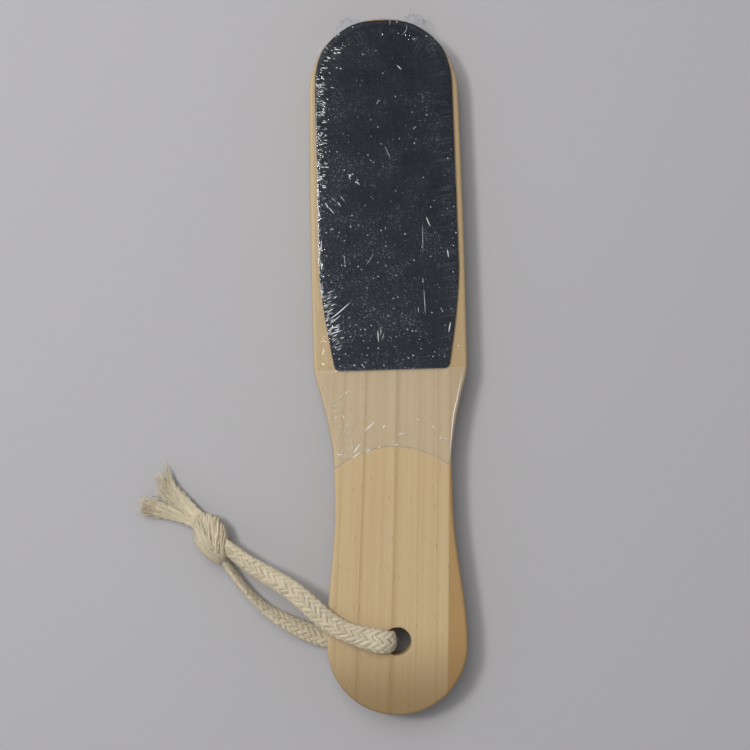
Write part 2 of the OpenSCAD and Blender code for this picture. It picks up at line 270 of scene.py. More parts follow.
finish_calls = [name for name, call in vars(Finish).items() if callable(call) and name[0] != "_"]
print("a finish has the calls", ", ".join(finish_calls))

# %% [markdown]
# ## Meshes from whole arrays
# Every new piece is a set of points that numpy works out at once, with faces that are rows of point
# numbers. `add_piece` puts both into Blender, and keeps what the material needs to follow the
# surface as point attributes: `lay` holds three numbers, and `depth` says how far a point stands out
# of its crease, which on the cotton sets how much painted shade it gets.

# %% Turn arrays into pieces
def add_piece(name, points, face_sets, material, attributes=None):
    """A mesh object at the origin, with its place in its points, in metres."""
    corners = np.concatenate([faces.ravel() for faces in face_sets])
    sizes = np.concatenate([np.full(len(faces), faces.shape[1]) for faces in face_sets])
    starts = np.concatenate([[0], np.cumsum(sizes)[:-1]])
    mesh = bpy.data.meshes.new(name)
    mesh.vertices.add(len(points))
    mesh.vertices.foreach_set("co", points.astype(np.float32).ravel())
    mesh.loops.add(len(corners))
    mesh.loops.foreach_set("vertex_index", corners.astype(np.int32))
    mesh.polygons.add(len(sizes))
    mesh.polygons.foreach_set("loop_start", starts.astype(np.int32))
    mesh.update(calc_edges=True)
    mesh.polygons.foreach_set("use_smooth", np.ones(len(sizes), bool))
    for key, values in (attributes or {}).items():
        vector = values.ndim == 2
        data = mesh.attributes.new(key, "FLOAT_VECTOR" if vector else "FLOAT", "POINT").data
        data.foreach_set("vector" if vector else "value", values.astype(np.float32).ravel())
    mesh.materials.append(material)
    piece = bpy.data.objects.new(name, mesh)
    bpy.context.scene.collection.objects.link(piece)
    print(name, len(points), "points,", int(np.sum(sizes - 2)), "triangles")
    return piece


def unit(vectors):
    """Each vector divided by its own length."""
    return vectors / np.linalg.norm(vectors, axis=-1, keepdims=True)


def share_of(value, low, high):
    """How far a value is from low to high, held between 0 and 1."""
    return np.clip((value - low) / (high - low), 0, 1)


def mix(a, b, share):
    """The way from a to b, by a share."""
    return a + (b - a) * share


def tube_faces(tubes, rings, sides):
    """Quads round closed tubes, whose points are numbered tube, ring, side, and their ends."""
    index = np.arange(tubes * rings * sides).reshape(tubes, rings, sides)
    beside = np.roll(index, -1, axis=2)
    walls = np.stack([index[:, :-1], beside[:, :-1], beside[:, 1:], index[:, 1:]], axis=-1)
    ends = np.concatenate([index[:, 0, ::-1], index[:, -1]])
    return walls.reshape(-1, 4), ends


# %% [markdown]
# ## Cotton
# The cord is undyed cotton. Its yarns are bundles of fine fibres, so the finish needs streaks along
# each yarn, a slightly different cream from yarn to yarn, and painted shade in the creases where
# yarns dip under each other. An image of cloth would slide over the bends.
# Noise stretched along each yarn gives the streaks instead, and the same noise is the
# bump. The frayed ends are a brighter cream with a brown stain, which is stronger on
# the lower tail.

# %% Make the cotton finish
cotton_bright = tone(246, 234, 200)
cotton_light = tone(218, 207, 183)
cotton_dark = tone(193, 180, 150)
# The crease colour is painted shade.
cotton_crease_shade = tone(112, 95, 68)
cotton_spot = tone(160, 128, 70)
fibre_height = 0.00012
fibre_stretch = 0.3
fibres_around = 7
fibre_slant = 1.2
yarn_step = 40
patch_stretch = 0.12
patch_step = 9
speck_scale = 520.0
crease_shade_least_share = 0.12
crease_shade_speck_share = 0.75
spot_share = 0.75


def cotton_finish(name, light, dark, spotted=False):
    """Streaks plus patches choose between the two creams. A crease gets painted shade, by a least
    share and by a share that comes and goes in specks."""
    finish = Finish(name)
    lay = finish.attribute("lay")
    depth = finish.attribute("depth", "Fac")
    along, around, yarn = (lay.part(axis) for axis in "XYZ")
    across_fibres = around * fibres_around + along * fibre_slant
    streak_place = finish.vector(along * fibre_stretch, across_fibres, yarn * yarn_step)
    streaks = finish.noise(streak_place, 1.0, 3.0, 0.6)
    patches = finish.noise(finish.vector(along * patch_stretch, yarn * patch_step, 0.0), 1.0)
    shade = (streaks * 0.6 + patches * 0.6 - 0.1).at_least(0.0).at_most(1.0)
    colour = finish.mixed(shade, dark, light)
    # Painted shade: where the depth is low, in a crease, the cream is darkened towards the crease
    # shade colour.
    specks = finish.noise(finish.place(), speck_scale, 1.0).rise(0.38, 0.62)
    crease_shade_share = specks * crease_shade_speck_share + crease_shade_least_share
    crease = (1 - depth.rise(0.0, 0.6)) * crease_shade_share
    colour = finish.mixed(crease, colour, cotton_crease_shade)
    if spotted:
        end = finish.attribute("spot", "Fac")
        colour = finish.mixed(end * spot_share, colour, cotton_spot)
    normal = finish.bump(streaks, fibre_height)
    shader = finish.principled({"Base Color": colour, "Roughness": 0.92, "Normal": normal,
                                "Sheen Weight": 0.15, "Specular IOR Level": 0.2})
    return finish.surface(shader)


cotton = cotton_finish("cotton", cotton_light, cotton_dark)
cotton_frayed = cotton_finish("cotton_frayed", cotton_bright, cotton_light, spotted=True)
print("finishes:", cotton.name, "and", cotton_frayed.name)

# %% [markdown]
# ## The routes of the cord
# The cord goes through the hole and both legs run to the knot. The routes are the same
# points as in the CAD source: x, y, z, then the roll of the flat cord, its width and its
# thickness. The surface that the file lies on is a slope in the paddle's frame, and
# `ground` is its height.

# %% Lay out the cord
cord_width = 7.2
cord_t = 4.2
cord_gap = 0.3
over_z = top_z + cord_gap + cord_t / 2
under_z = wood_z - cord_gap - cord_t / 2
pitch = math.atan2(up[1], up[2])
contact_y = 222.95


def ground(y):
    """The height of the surface under the file: the distance from where the film touches
    it, times the slope."""
    return (y - contact_y) * math.tan(pitch)


upper_route = [
    [-2.2, 0, mid_z, 0, 7.4, 4],
    [-2.2, 0, over_z - 5.4, 0, 7.4, 4],
    [-2.2, 0, over_z - 3.1, 0, 7.6, 4],
    [-2.7, 0.1, over_z - 1.1, 0, 7.8, 4],
    [-4.2, 0.4, over_z + 0.4, 0, 8.2, 4],
    [-6.4, 0.9, over_z + 0.9, 0, 8.6, 4],
    [-9.4, 1.6, over_z + 0.7, 0, 8.4, 4],
    [-13, 2.6, over_z + 0.3, 0, 7.8, 4.2],
    [-17.5, 4.1, over_z, 0, 7.4, 4.2],
    [-22, 6.5, over_z, 0, 7.3, 4.2],
    [-26.4, 9.8, over_z, 0, 7.5, 4.2],
    [-30.6, 13.6, over_z - 0.2, 0, 7.6, 4.2],
    [-35, 17.6, over_z - 1.2, 0, 7.5, 4.2],
    [-40, 21.1, over_z - 2.9, 0, 7.2, 4.2],
    [-45, 24, over_z - 4.7, 0, 7, 4],
    [-50, 26.7, over_z - 6.2, -10, 6.8, 4],
    [-54.5, 29.7, over_z - 7.3, -20, 6.4, 3.8],
    [-58.8, 33, over_z - 8.1, -25, 6, 3.6],
    [-61.9, 35.5, over_z - 8.6, -25, 5.6, 3.4],
]
lower_route = [
    [-2.2, 0, mid_z, 0, 7.4, 4],
    [-2.2, 0, under_z + 5.2, 0, 7.4, 4],
    [-2.2, 0, under_z + 3, 0, 7.4, 3.8],
    [-2.7, 0, under_z + 1.4, 0, 7.4, 3.8],
    [-4, 0, under_z + 0.4, 0, 7.4, 3.8],
    [-6, -0.1, under_z + 0.1, 0, 7.4, 3.9],
    [-9, -0.3, under_z, 0, 7.4, 4],
    [-13.5, -0.7, under_z, 0, 7.2, 4.2],
    [-18.5, -0.9, under_z, 0, 7.2, 4.2],
    [-23.5, -0.6, under_z, 0, 7.2, 4.2],
    [-28, 0.5, under_z, 5, 7.2, 4.2],
    [-32.5, 2.3, under_z + 0.4, 20, 7.2, 4],
    [-37, 4.6, under_z + 0.9, 35, 7, 4],
    [-41.5, 7.2, under_z + 1.3, 50, 6.8, 3.8],
    [-45.7, 9.9, under_z + 1.6, 65, 6.6, 3.6],
    [-49.4, 12.9, under_z + 1.8, 75, 6.4, 3.4],
    [-52.7, 16.3, under_z + 1.9, 82, 6.2, 3.2],
    [-55.9, 20, under_z + 1.9, 85, 6, 3],
    [-58.9, 24.2, under_z + 2, 85, 6, 3],
    [-61.6, 28.2, under_z + 2.2, 85, 5.8, 3],
    [-63.8, 32, under_z + 2.6, 85, 5.4, 3],
]
print("rows of the two legs:", len(upper_route), "and", len(lower_route))

# %% [markdown]
# ## The rows of the tails
# Both tails leave the knot side by side and come down to the surface that the file lies
# on, so their heights are given over `ground`. They widen to their ends, where the braid
# opens. A row says the same as a leg's.

# %% Lay out the tails
upper_tail_route = [
    [-69.4, 44.4, ground(44) + 5, 0, 4.6, 3.6],
    [-72.7, 47, ground(47) + 4.4, 0, 5, 3.4],
    [-76.4, 50.2, ground(50) + 3.6, 0, 6.4, 3.3],
    [-80.3, 53.4, ground(53) + 2.9, 0, 8.4, 3.2],
    [-84, 56.3, ground(56) + 2.4, 0, 10.6, 3.1],
    [-87.2, 58.7, ground(59) + 2.1, 0, 12.6, 3],
]
lower_tail_route = [
    [-69.8, 41.8, ground(42) + 3.4, 0, 5, 3.8],
    [-73.5, 43.9, ground(44) + 3, 0, 5, 3.6],
    [-77.8, 45.7, ground(46) + 2.5, 0, 5, 3.6],
    [-82.4, 47.3, ground(47) + 2.2, 0, 5.4, 3.4],
    [-87.2, 48.5, ground(48) + 2, 0, 6.6, 3.2],
    [-91.9, 49.2, ground(49) + 1.9, 0, 7.8, 3],
]
print("rows of the two tails:", len(upper_tail_route), "and", len(lower_tail_route))

# %% [markdown]
# ## From rows to smooth routes
# A cord has no corners, so a smooth curve goes through the rows. It is then cut again at
# even distances, because the yarns wind evenly along the cord. `sweep_frame` gives the
# flat cord's own directions at each place.

# %% Smooth the routes
curve_steps = 12
row_spacing = 0.45


def curve_through(rows):
    """A smooth curve through the rows: in each span, a cubic of the share t whose slope
    at a row is half the step between the rows beside it."""
    rows = np.array(rows, float)
    last = len(rows) - 1
    span = np.arange(last)
    a = rows[np.maximum(span - 1, 0)][:, None]
    b = rows[span][:, None]
    c = rows[span + 1][:, None]
    d = rows[np.minimum(span + 2, last)][:, None]
    t = (np.arange(curve_steps) / curve_steps)[None, :, None]
    cubic = (2 * b + (c - a) * t + (2 * a - 5 * b + 4 * c - d) * t**2
             + (3 * b - a - 3 * c + d) * t**3) / 2
    return np.concatenate([cubic.reshape(-1, rows.shape[1]), rows[-1:]])


def lengths_along(points):
    """The distance run at each point of a path."""
    steps = np.linalg.norm(np.diff(points, axis=0), axis=1)
    return np.concatenate([[0], np.cumsum(steps)])


def evenly(rows, spacing):
    """The same curve with rows at even distances along it."""
    run = lengths_along(rows[:, :3])
    places = np.linspace(0, run[-1], max(2, int(run[-1] / spacing)))
    return np.stack([np.interp(places, run, column) for column in rows.T], axis=1)


def sweep_frame(rows):
    """The directions along, across and through the flat cord at each row. Across is level,
    with a share of the paddle's length in it for a route that runs upright, and then the
    roll turns both about the route."""
    upright_share = 0.2
    along = unit(np.gradient(rows[:, :3], axis=0))
    level = np.cross(along, [0, 0, 1]) + upright_share * np.array([0, 1, 0])
    wide = unit(level - np.sum(level * along, axis=1, keepdims=True) * along)
    thick = np.cross(along, wide)
    cos, sin = np.cos(np.radians(rows[:, 3:4])), np.sin(np.radians(rows[:, 3:4]))
    return along, wide * cos + thick * sin, thick * cos - wide * sin


upper_rows = evenly(curve_through(upper_route), row_spacing)
lower_rows = evenly(curve_through(lower_route), row_spacing)
upper_tail_rows = evenly(curve_through(upper_tail_route), row_spacing)
lower_tail_rows = evenly(curve_through(lower_tail_route), row_spacing)
for label, rows in (("upper leg", upper_rows), ("lower leg", lower_rows),
                    ("upper tail", upper_tail_rows), ("lower tail", lower_tail_rows)):
    print(label, round(float(lengths_along(rows[:, :3])[-1]), 1), "mm")

# %% [markdown]
# ## Yarn
# Everything in the cord is yarn: a thin tube along a path, flatter than it is wide.
# `Yarns` collects such tubes, so that a whole leg of the cord becomes one piece. A ring
# of a tube is its path's point, plus the cosine of an angle times half its width across,
# plus the sine times half its thickness outwards.

# %% Collect tubes of yarn
seed_step, seed_drift = 0.618, 0.0001
crest_share, crest_spread_share = 0.7, 0.3
floor_gap = 0.03
strand_width = 0.14
strand_rings, strand_sides = 13, 3
strand_angle_shares = (0.1, 0.9)
strand_wander = 0.35
strand_rest, strand_lift = 0.97, 0.3


class Yarns:
    """Tubes that will be one mesh."""

    def __init__(self):
        self.points = []
        self.attributes = {"lay": [], "depth": [], "spot": []}
        self.walls = []
        self.ends = {}
        self.count = 0

    def add(self, paths, outward, width, thickness, sides, depth, spot=0.0):
        """Tubes along an array of paths. Depth is 0 in a crease and 1 at a crest, and less on a
        tube's inner side than on its outer one; a lower depth gets more painted shade."""
        tubes, rings, _ = paths.shape
        along = unit(np.gradient(paths, axis=1))
        out = unit(outward - np.sum(outward * along, axis=-1, keepdims=True) * along)
        across = np.cross(out, along)
        angle = 2 * np.pi * np.arange(sides) / sides
        half_width = np.broadcast_to(width, (tubes, rings))[..., None, None] / 2
        half_thick = np.broadcast_to(thickness, (tubes, rings))[..., None, None] / 2
        ring = (paths[:, :, None] + half_width * np.cos(angle)[:, None] * across[:, :, None]
                + half_thick * np.sin(angle)[:, None] * out[:, :, None])
        steps = np.linalg.norm(np.diff(paths, axis=1), axis=-1)
        run = np.concatenate([np.zeros((tubes, 1)), np.cumsum(steps, axis=1)], axis=1)
        shape = (tubes, rings, sides)
        seeds = (np.arange(tubes) * seed_step + self.count * seed_drift) % 1
        lay = [np.broadcast_to(run[..., None], shape),
               np.broadcast_to(angle * half_width[..., 0], shape),
               np.broadcast_to(seeds[:, None, None], shape)]
        # Painted shade: the inner side of each tube gets a lower depth, so it is darker.
        crest = np.broadcast_to(depth, (tubes, rings))[..., None] * (
            crest_share + crest_spread_share * np.sin(angle))
        walls, ends = tube_faces(*shape)
        self.points.append(ring.reshape(-1, 3))
        self.attributes["lay"].append(np.stack(lay, axis=-1).reshape(-1, 3))
        self.attributes["depth"].append(crest.ravel())
        self.attributes["spot"].append(np.broadcast_to(
            np.broadcast_to(spot, (tubes, rings))[..., None], shape).ravel())
        self.walls.append(walls + self.count)
        self.ends.setdefault(sides, []).append(ends + self.count)
        self.count += tubes * rings * sides

    def strands(self, paths, outward, width, thickness, depth, count, seed):
        """Thin strands that each lie along part of a yarn and wander over its outer side. A
        strand lifts off in its middle by a square of the distance from it."""
        draw = np.random.default_rng(seed)
        along = unit(np.gradient(paths, axis=1))
        out = unit(outward - np.sum(outward * along, axis=-1, keepdims=True) * along)
        across = np.cross(out, along)
        yarn = draw.integers(0, len(paths), count)[:, None]
        place = draw.integers(0, paths.shape[1] - strand_rings, count)[:, None]
        place = place + np.arange(strand_rings)
        t = np.linspace(-1, 1, strand_rings)
        angle = np.pi * draw.uniform(*strand_angle_shares, (count, 1))
        angle = angle + draw.normal(0, strand_wander, (count, 1)) * t
        lift = strand_rest + draw.uniform(0, strand_lift, (count, 1)) * (1 - t**2)
        strand = (paths[yarn, place]
                  + (np.cos(angle) * lift * width / 2)[..., None] * across[yarn, place]
                  + (np.sin(angle) * lift * thickness / 2)[..., None] * out[yarn, place])
        crest = np.broadcast_to(depth, paths.shape[:2])[yarn, place]
        self.add(strand, out[yarn, place], strand_width, strand_width, strand_sides, crest)

    def piece(self, name, material):
        """All the tubes as one object, kept a little above the floor."""
        faces = [np.concatenate(self.walls)]
        faces += [np.concatenate(ends) for ends in self.ends.values()]
        attributes = {key: np.concatenate(values) for key, values in self.attributes.items()}
        points = np.concatenate(self.points)
        points[:, 2] = np.maximum(points[:, 2], ground(points[:, 1]) + floor_gap)
        return add_piece(name, laid(points), faces, material, attributes)


print("yarn is ready")

# %% [markdown]
# ## The braided legs
# The cord is a flattened tubular braid: eight yarns wind round it one way and eight the
# other way, each over two and under two. Seen on a real cord, the crests are lumps about
# 3.6 mm long and 1.7 mm wide that lie in a herringbone. A texture can't give the lumpy
# outline, so each yarn is a real tube. Its angle round the cord grows with the distance
# along it, and a cosine of the number of yarns that it has crossed lifts it over two
# and presses it under two. A plain core closes the small gaps.

# %% Find places round the flat cord
flat_samples = 721


def even_angles(shares, width, thickness):
    """Angles of an ellipse at shares of the way round it, measured along its edge."""
    angle = np.linspace(0, 2 * np.pi, flat_samples)
    run = lengths_along(np.stack([width * np.cos(angle), thickness * np.sin(angle)], axis=1))
    whole = np.floor(shares)
    return 2 * np.pi * whole + np.interp(shares - whole, run / run[-1], angle)


def on_cord(rows, angle, inset, picked=slice(None)):
    """Points of the cord's ellipse at an angle, moved inwards, and the way out there, at
    all rows or at the picked ones: the middle, plus the cosine times half the width across,
    plus the sine times half the thickness through."""
    _, wide, thick = (direction[picked] for direction in sweep_frame(rows))
    half_w = rows[picked, 4] / 2
    half_t = rows[picked, 5] / 2
    cos, sin = np.cos(angle), np.sin(angle)
    centre = rows[picked, :3]
    out = unit(wide * (cos / half_w)[..., None] + thick * (sin / half_t)[..., None])
    flat = wide * (cos * half_w)[..., None] + thick * (sin * half_t)[..., None]
    return centre + flat - out * np.asarray(inset)[..., None], out


eighth = even_angles(np.array([0.125]), cord_width, cord_t)[0]
print("an eighth of the way round the cord is at", round(math.degrees(eighth), 1), "degrees")

# %% Braid the yarns
yarns_each_way = 8
braid_turn = 21
yarn_width = 1.85
yarn_thickness = 1.15
yarn_lift = 0.22
yarn_slack = 0.009
slack_length = 2.3
slack_step = 2.4
yarn_sides = 8
under_shade_depth = 0.24
strand_count = 420
core_inset = 1.35
core_spacing = 4
core_sides = 16


def braid(yarns, rows):
    """Yarns wound both ways round the cord. For each place that a yarn gains on those of its
    own way, it crosses two of the others."""
    run = lengths_along(rows[:, :3])
    number = np.arange(yarns_each_way)[:, None]
    mean_w, mean_t = rows[:, 4].mean(), rows[:, 5].mean()
    for way in (1, -1):
        slack = yarn_slack * np.sin(run / slack_length + slack_step * number + way)
        share = number / yarns_each_way + way * run / braid_turn + slack
        crossed = number + way * 2 * run / braid_turn * yarns_each_way
        over = way * np.cos(np.pi / 2 * (number + crossed) - np.pi / 4)
        angle = even_angles(share, mean_w, mean_t)
        inset = yarn_thickness / 2 + yarn_lift * (1 - over)
        path, out = on_cord(rows, angle, inset)
        # Painted shade: a yarn gets a lower depth where it goes under the others, which darkens it.
        depth = mix(under_shade_depth, 1, (1 + over) / 2)
        yarns.add(path, out, yarn_width, yarn_thickness, yarn_sides, depth)
        yarns.strands(path, out, yarn_width, yarn_thickness, depth, strand_count, 3 + way)


def fill_leg(yarns, rows):
    """A plain core inside the braid: a flat tube that is thinner than the cord all round."""
    core_rows = evenly(rows, core_spacing)
    _, wide, thick = sweep_frame(core_rows)
    # Painted shade: the core's depth of 0 gives it the darkest crease shade.
    yarns.add(core_rows[None, :, :3], thick[None], core_rows[None, :, 4] - 2 * core_inset,
              core_rows[None, :, 5] - 2 * core_inset, core_sides, 0.0)


print("yarns in a leg:", 2 * yarns_each_way)

# %% [markdown]
# ## Loose fibres
# Cotton is never smooth. Short fibres stand out from it all over and soften its outline.
# A hair system would look right here but can't be exported, so each fibre is a thin tube
# of three sides, in the same mesh as its leg.

# %% Make the two legs
leg_fuzz = 1800
root_inset = 0.3


def hair(yarns, start, out, draw):
    """Short loose fibres: each goes out from its start by a share of its length, and leans
    over by a sum of a line and a square of the way along it."""
    longest, shortest = 1.3, 0.4
    rings, sides = 4, 3
    root_width, tip_width = 0.07, 0.02
    out_share, lean_share, droop_share = 0.7, 0.3, 0.5
    count = len(start)
    length = draw.uniform(shortest, longest, (count, 1, 1))
    lean = unit(draw.normal(0, 1, (count, 1, 3)))
    t = np.linspace(0, 1, rings)[None, :, None]
    bent = out[:, None] * t * out_share + lean * (lean_share * t + droop_share * t**2)
    path = start[:, None] + length * bent
    width = mix(root_width, tip_width, t[..., 0])
    yarns.add(path, lean + out[:, None] * 0.1, width, width, sides, 1.0)


def fuzz(yarns, rows, count, seed):
    """Hairs at random places all over the cord."""
    draw = np.random.default_rng(seed)
    picked = draw.integers(0, len(rows), count)
    angle = draw.uniform(0, 2 * np.pi, count)
    start, out = on_cord(rows, angle, np.full(count, root_inset), picked)
    hair(yarns, start, out, draw)


def make_leg(name, rows, seed):
    """One leg of the cord: its braid, its core and the fuzz on it."""
    yarns = Yarns()
    braid(yarns, rows)
    fill_leg(yarns, rows)
    fuzz(yarns, rows, leg_fuzz, seed)
    return yarns.piece(name, cotton)


upper_leg = make_leg("braided_upper_leg", upper_rows, 11)
lower_leg = make_leg("braided_lower_leg", lower_rows, 12)

# %% [markdown]
# ## The knot
# Both legs are tied in one knot, which pulls tight into an egg shape with broad bands of yarn laid
# over each other. A plane cuts an egg in an oval loop, so each yarn is such a loop, and each band is
# a run of parallel loops. The bands cut the egg at different angles, and each bulges in its middle,
# so that creases form where two bands meet. Some loops dip for part of their way round, which gives
# the small fissures of a tight knot. The creases and the fissures are darkened by painted shade.
# A band is the angle of its cuts, the latitudes of its first and its last loop, how many
# loops it has, and its size as a share of the egg's.

# %% Measure the knot
knot_middle = np.array([-66.5, 38.4, 2.5])
long_angle = -70
egg_long, egg_wide, egg_high = 9.7, 5.9, 5.1
knot_bands = (
    (8, -84, 84, 26, 0.96),
    (26, -70, 6, 11, 1.04),
    (-4, 2, 76, 13, 1.04),
    (50, -66, -16, 10, 1.08),
)
loop_points = 110
slow_wobble = 0.035
quick_wobble = 0.02


def level_direction(degrees):
    """A level direction at an angle from the paddle's right."""
    angle = math.radians(degrees)
    return np.array([math.cos(angle), math.sin(angle), 0.0])


egg_axes = np.stack([egg_long * level_direction(long_angle),
                     egg_wide * level_direction(long_angle + 90),
                     egg_high * np.array([0.0, 0.0, 1.0])])


def egg_loops(facing_angle, first, last, count, draw):
    """Loops on a round ball: a share of the way along the cut's own direction, plus the
    rest of the radius times the cosine and the sine of the turn. The ball's points, times
    the egg's three axes, are the egg's."""
    direction = unit(egg_axes @ level_direction(facing_angle))
    side = unit(np.cross(direction, [0.0, 0.0, 1.0]))
    third = np.cross(direction, side)
    turn = np.linspace(0, 2 * np.pi, loop_points)
    phase = draw.uniform(0, 2 * np.pi, (2, count, 1))
    wobble = slow_wobble * np.sin(2 * turn + phase[0]) + quick_wobble * np.sin(5 * turn + phase[1])
    latitude = np.radians(np.linspace(first, last, count))[:, None] + wobble
    return (np.sin(latitude)[..., None] * direction
            + (np.cos(latitude) * np.cos(turn))[..., None] * side
            + (np.cos(latitude) * np.sin(turn))[..., None] * third)


print("the knot is", 2 * egg_long, "mm long, with", sum(band[3] for band in knot_bands), "loops")

# %% Tie the knot
bulge = 0.22
crease_share = 0.9
crease_shade_depth = 0.1
fissure_share = 0.3
fissure_depth = 0.06
fissure_painted_shade = 0.7
band_yarn_width = 0.86
band_yarn_thick = 0.8
band_yarn_sides = 6
knot_strands = 280
knot_fuzz = 420
core_rings = 24
core_end_share = 0.98
core_long_share = 0.88
core_wide_share = 0.9


def tie_band(yarns, band, draw):
    """One band: loops whose size falls from the middle of the band to its sides by the
    fourth power, with strands and hairs on them."""
    facing_angle, first, last, count, size = band
    ball = egg_loops(facing_angle, first, last, count, draw)
    share = np.linspace(-1, 1, count)[:, None]
    turn = np.linspace(0, 2 * np.pi, loop_points)
    cracked = draw.uniform(0, 1, (count, 1)) < fissure_share
    crack = cracked * np.clip(2 * np.sin(turn + draw.uniform(0, 6, (count, 1))) - 0.4, 0, 1)
    swell = size - bulge * share**4 - fissure_depth * crack
    out = unit(ball / np.linalg.norm(egg_axes, axis=1) @ unit(egg_axes))
    paths = knot_middle + swell[..., None] * (ball @ egg_axes) - out * band_yarn_thick / 2
    rise = np.clip(1 - np.abs(share / crease_share) ** 4, 0, 1)
    # Painted shade: loops at a band's sides and in a fissure get a low depth, which darkens them.
    depth = mix(crease_shade_depth, 1, rise) * (1 - fissure_painted_shade * crack)
    yarns.add(paths, out, band_yarn_width, band_yarn_thick, band_yarn_sides, depth)
    yarns.strands(paths, out, band_yarn_width, band_yarn_thick, depth, knot_strands, count)
    hairs = draw.integers(0, count, knot_fuzz), draw.integers(0, loop_points, knot_fuzz)
    hair(yarns, paths[hairs] + out[hairs] * band_yarn_thick / 4, out[hairs], draw)


def fill_knot(yarns):
    """An egg inside the bands that closes the gaps: a tube whose width follows the square
    root of 1 - t squared."""
    t = np.linspace(-core_end_share, core_end_share, core_rings)
    narrowing = core_wide_share * np.sqrt(1 - t**2)
    body = knot_middle + core_long_share * t[:, None] * egg_axes[0]
    upwards = np.broadcast_to([0.0, 0.0, 1.0], (1, core_rings, 3))
    # Painted shade: the core's depth of 0 gives it the darkest crease shade.
    yarns.add(body[None], upwards, 2 * egg_wide * narrowing, 2 * egg_high * narrowing,
              core_sides, 0.0)


def make_knot():
    """All the bands, and the egg inside them."""
    yarns = Yarns()
    draw = np.random.default_rng(21)
    for band in knot_bands:
        tie_band(yarns, band, draw)
    fill_knot(yarns)
    return yarns.piece("tied_knot", cotton)


knot = make_knot()

# %% [markdown]
# ## The frayed tails
# Past the knot the braid is cut off and opens into its yarns, and each yarn opens into
# fibres. Each fibre keeps its place in its yarn near the knot, wanders more and more
# towards its end, and stops at a length of its own, so that the end is soft. The upper
# tail was cut at a slant, so its fibres are longer on one side, and it flares. The lower
# tail stays narrow, and its end is stained more.

# %% Fray the tails
tail_yarns = 16
fibres_each = 30
fibre_rings = 16
fibre_sides = 3
golden_turn = 2.4
yarns_fill_share = 0.8
yarn_length_shares = (0.85, 1.04)
fibre_length_shares = (0.76, 1.08)
slant_offset_share = 0.3
twist = 0.9
fibre_twist = 1.5
yarn_radius, end_radius = 0.66, 1.5
wander = 1.7
wander_start_share = 0.25
crimp, crimp_turns = 0.34, 8
skin = 0.5
tail_lift = 0.15
root_width, tip_width = 0.34, 0.12
spot_start_share, spot_reach_share = 0.75, 0.2


def along_tail(rows, t):
    """The route's row at shares of the way along it, and its directions across and through,
    in a straight line between two rows."""
    place = t * (len(rows) - 1)
    low = np.clip(place.astype(int), 0, len(rows) - 2)
    between = (place - low)[..., None]
    _, wide, thick = sweep_frame(rows)
    return rows[low] * (1 - between) + rows[low + 1] * between, wide[low], thick[low]


print("each tail gets", tail_yarns * fibres_each, "fibres")

# %% [markdown]
# ## The paths of the fibres
# A fibre's place is a sum of where the tail is, where its yarn is in the tail and where
# it is in its yarn. Two waves are added: a slow sway, which opens the end, and a short
# kink, which the braid has left in each yarn.

# %% Make the two tails
def make_tail(name, rows, seed, spotted, end_flare, slant):
    """Fibre paths: the tail's middle, plus the yarn's place in the flat section, plus the
    fibre's place in its yarn, which spreads along the way, plus a slow wander."""
    count = tail_yarns * fibres_each
    draw = np.random.default_rng(seed)
    yarn = np.repeat(np.arange(tail_yarns), fibres_each)
    spiral = yarn * golden_turn
    spread = np.sqrt((yarn + 0.5) / tail_yarns) * yarns_fill_share
    longest = (draw.uniform(*yarn_length_shares, tail_yarns)[yarn]
               * draw.uniform(*fibre_length_shares, count))
    longest *= 1 + slant * (spread * np.cos(spiral + twist) - slant_offset_share)
    t = np.linspace(0, 1, fibre_rings)[None] * longest[:, None]
    row, wide, thick = along_tail(rows, t)
    turn = spiral[:, None] + twist * t
    own_angle = draw.uniform(0, 2 * np.pi, count)[:, None] + fibre_twist * t
    own_radius = np.sqrt(draw.uniform(0, 1, count))[:, None] * mix(
        yarn_radius, end_radius, np.clip(t, 0, 1) ** 2)
    bend = draw.normal(0, 1, (2, tail_yarns))[:, yarn] + 0.5 * draw.normal(0, 1, (2, count))
    phase = draw.uniform(0, 6, tail_yarns)[yarn][:, None]
    sway = wander * np.clip(t - wander_start_share, 0, None) ** 1.5 * np.sin(2.2 * t + phase)
    kink = crimp * np.sin(2 * np.pi * crimp_turns * t + phase)
    flare = 1 + end_flare * np.clip(t, 0, 1) ** 2
    x = (spread[:, None] * np.cos(turn) * (row[..., 4] / 2 - skin) * flare
         + own_radius * np.cos(own_angle) + kink + sway * bend[0][:, None])
    z = (spread[:, None] * np.sin(turn) * (row[..., 5] / 2 - skin)
         + own_radius * np.sin(own_angle) * 0.7 + 0.5 * sway * bend[1][:, None])
    paths = row[..., :3] + x[..., None] * wide + z[..., None] * thick
    paths[..., 2] = np.maximum(paths[..., 2], ground(paths[..., 1]) + tail_lift)
    width = mix(root_width, tip_width, np.linspace(0, 1, fibre_rings)[None])
    # Painted shade: fibres deep inside the tail and in the dips of each kink get a lower depth,
    # which darkens them.
    outer = np.clip(np.hypot(x / (row[..., 4] / 2), z / (row[..., 5] / 2)), 0, 1)
    crimp_shade = 0.8 + 0.2 * np.sin(2 * np.pi * crimp_turns * t + 2 * phase)
    depth = (0.62 + 0.38 * outer) * crimp_shade
    stained = np.clip((t - spot_start_share) / spot_reach_share, 0, 1)
    end_spot = stained * spotted * (yarn % 3 == 0)[:, None]
    outward = wide * np.cos(own_angle)[..., None] + thick * np.sin(own_angle)[..., None] + 0.01
    yarns = Yarns()
    yarns.add(paths, outward, width, width, fibre_sides, depth, end_spot)
    return yarns.piece(name, cotton_frayed)


upper_tail = make_tail("frayed_upper_tail", upper_tail_rows, 31, 0.2, 0.5, 0.25)
lower_tail = make_tail("frayed_lower_tail", lower_tail_rows, 32, 0.7, 0.1, 0.0)

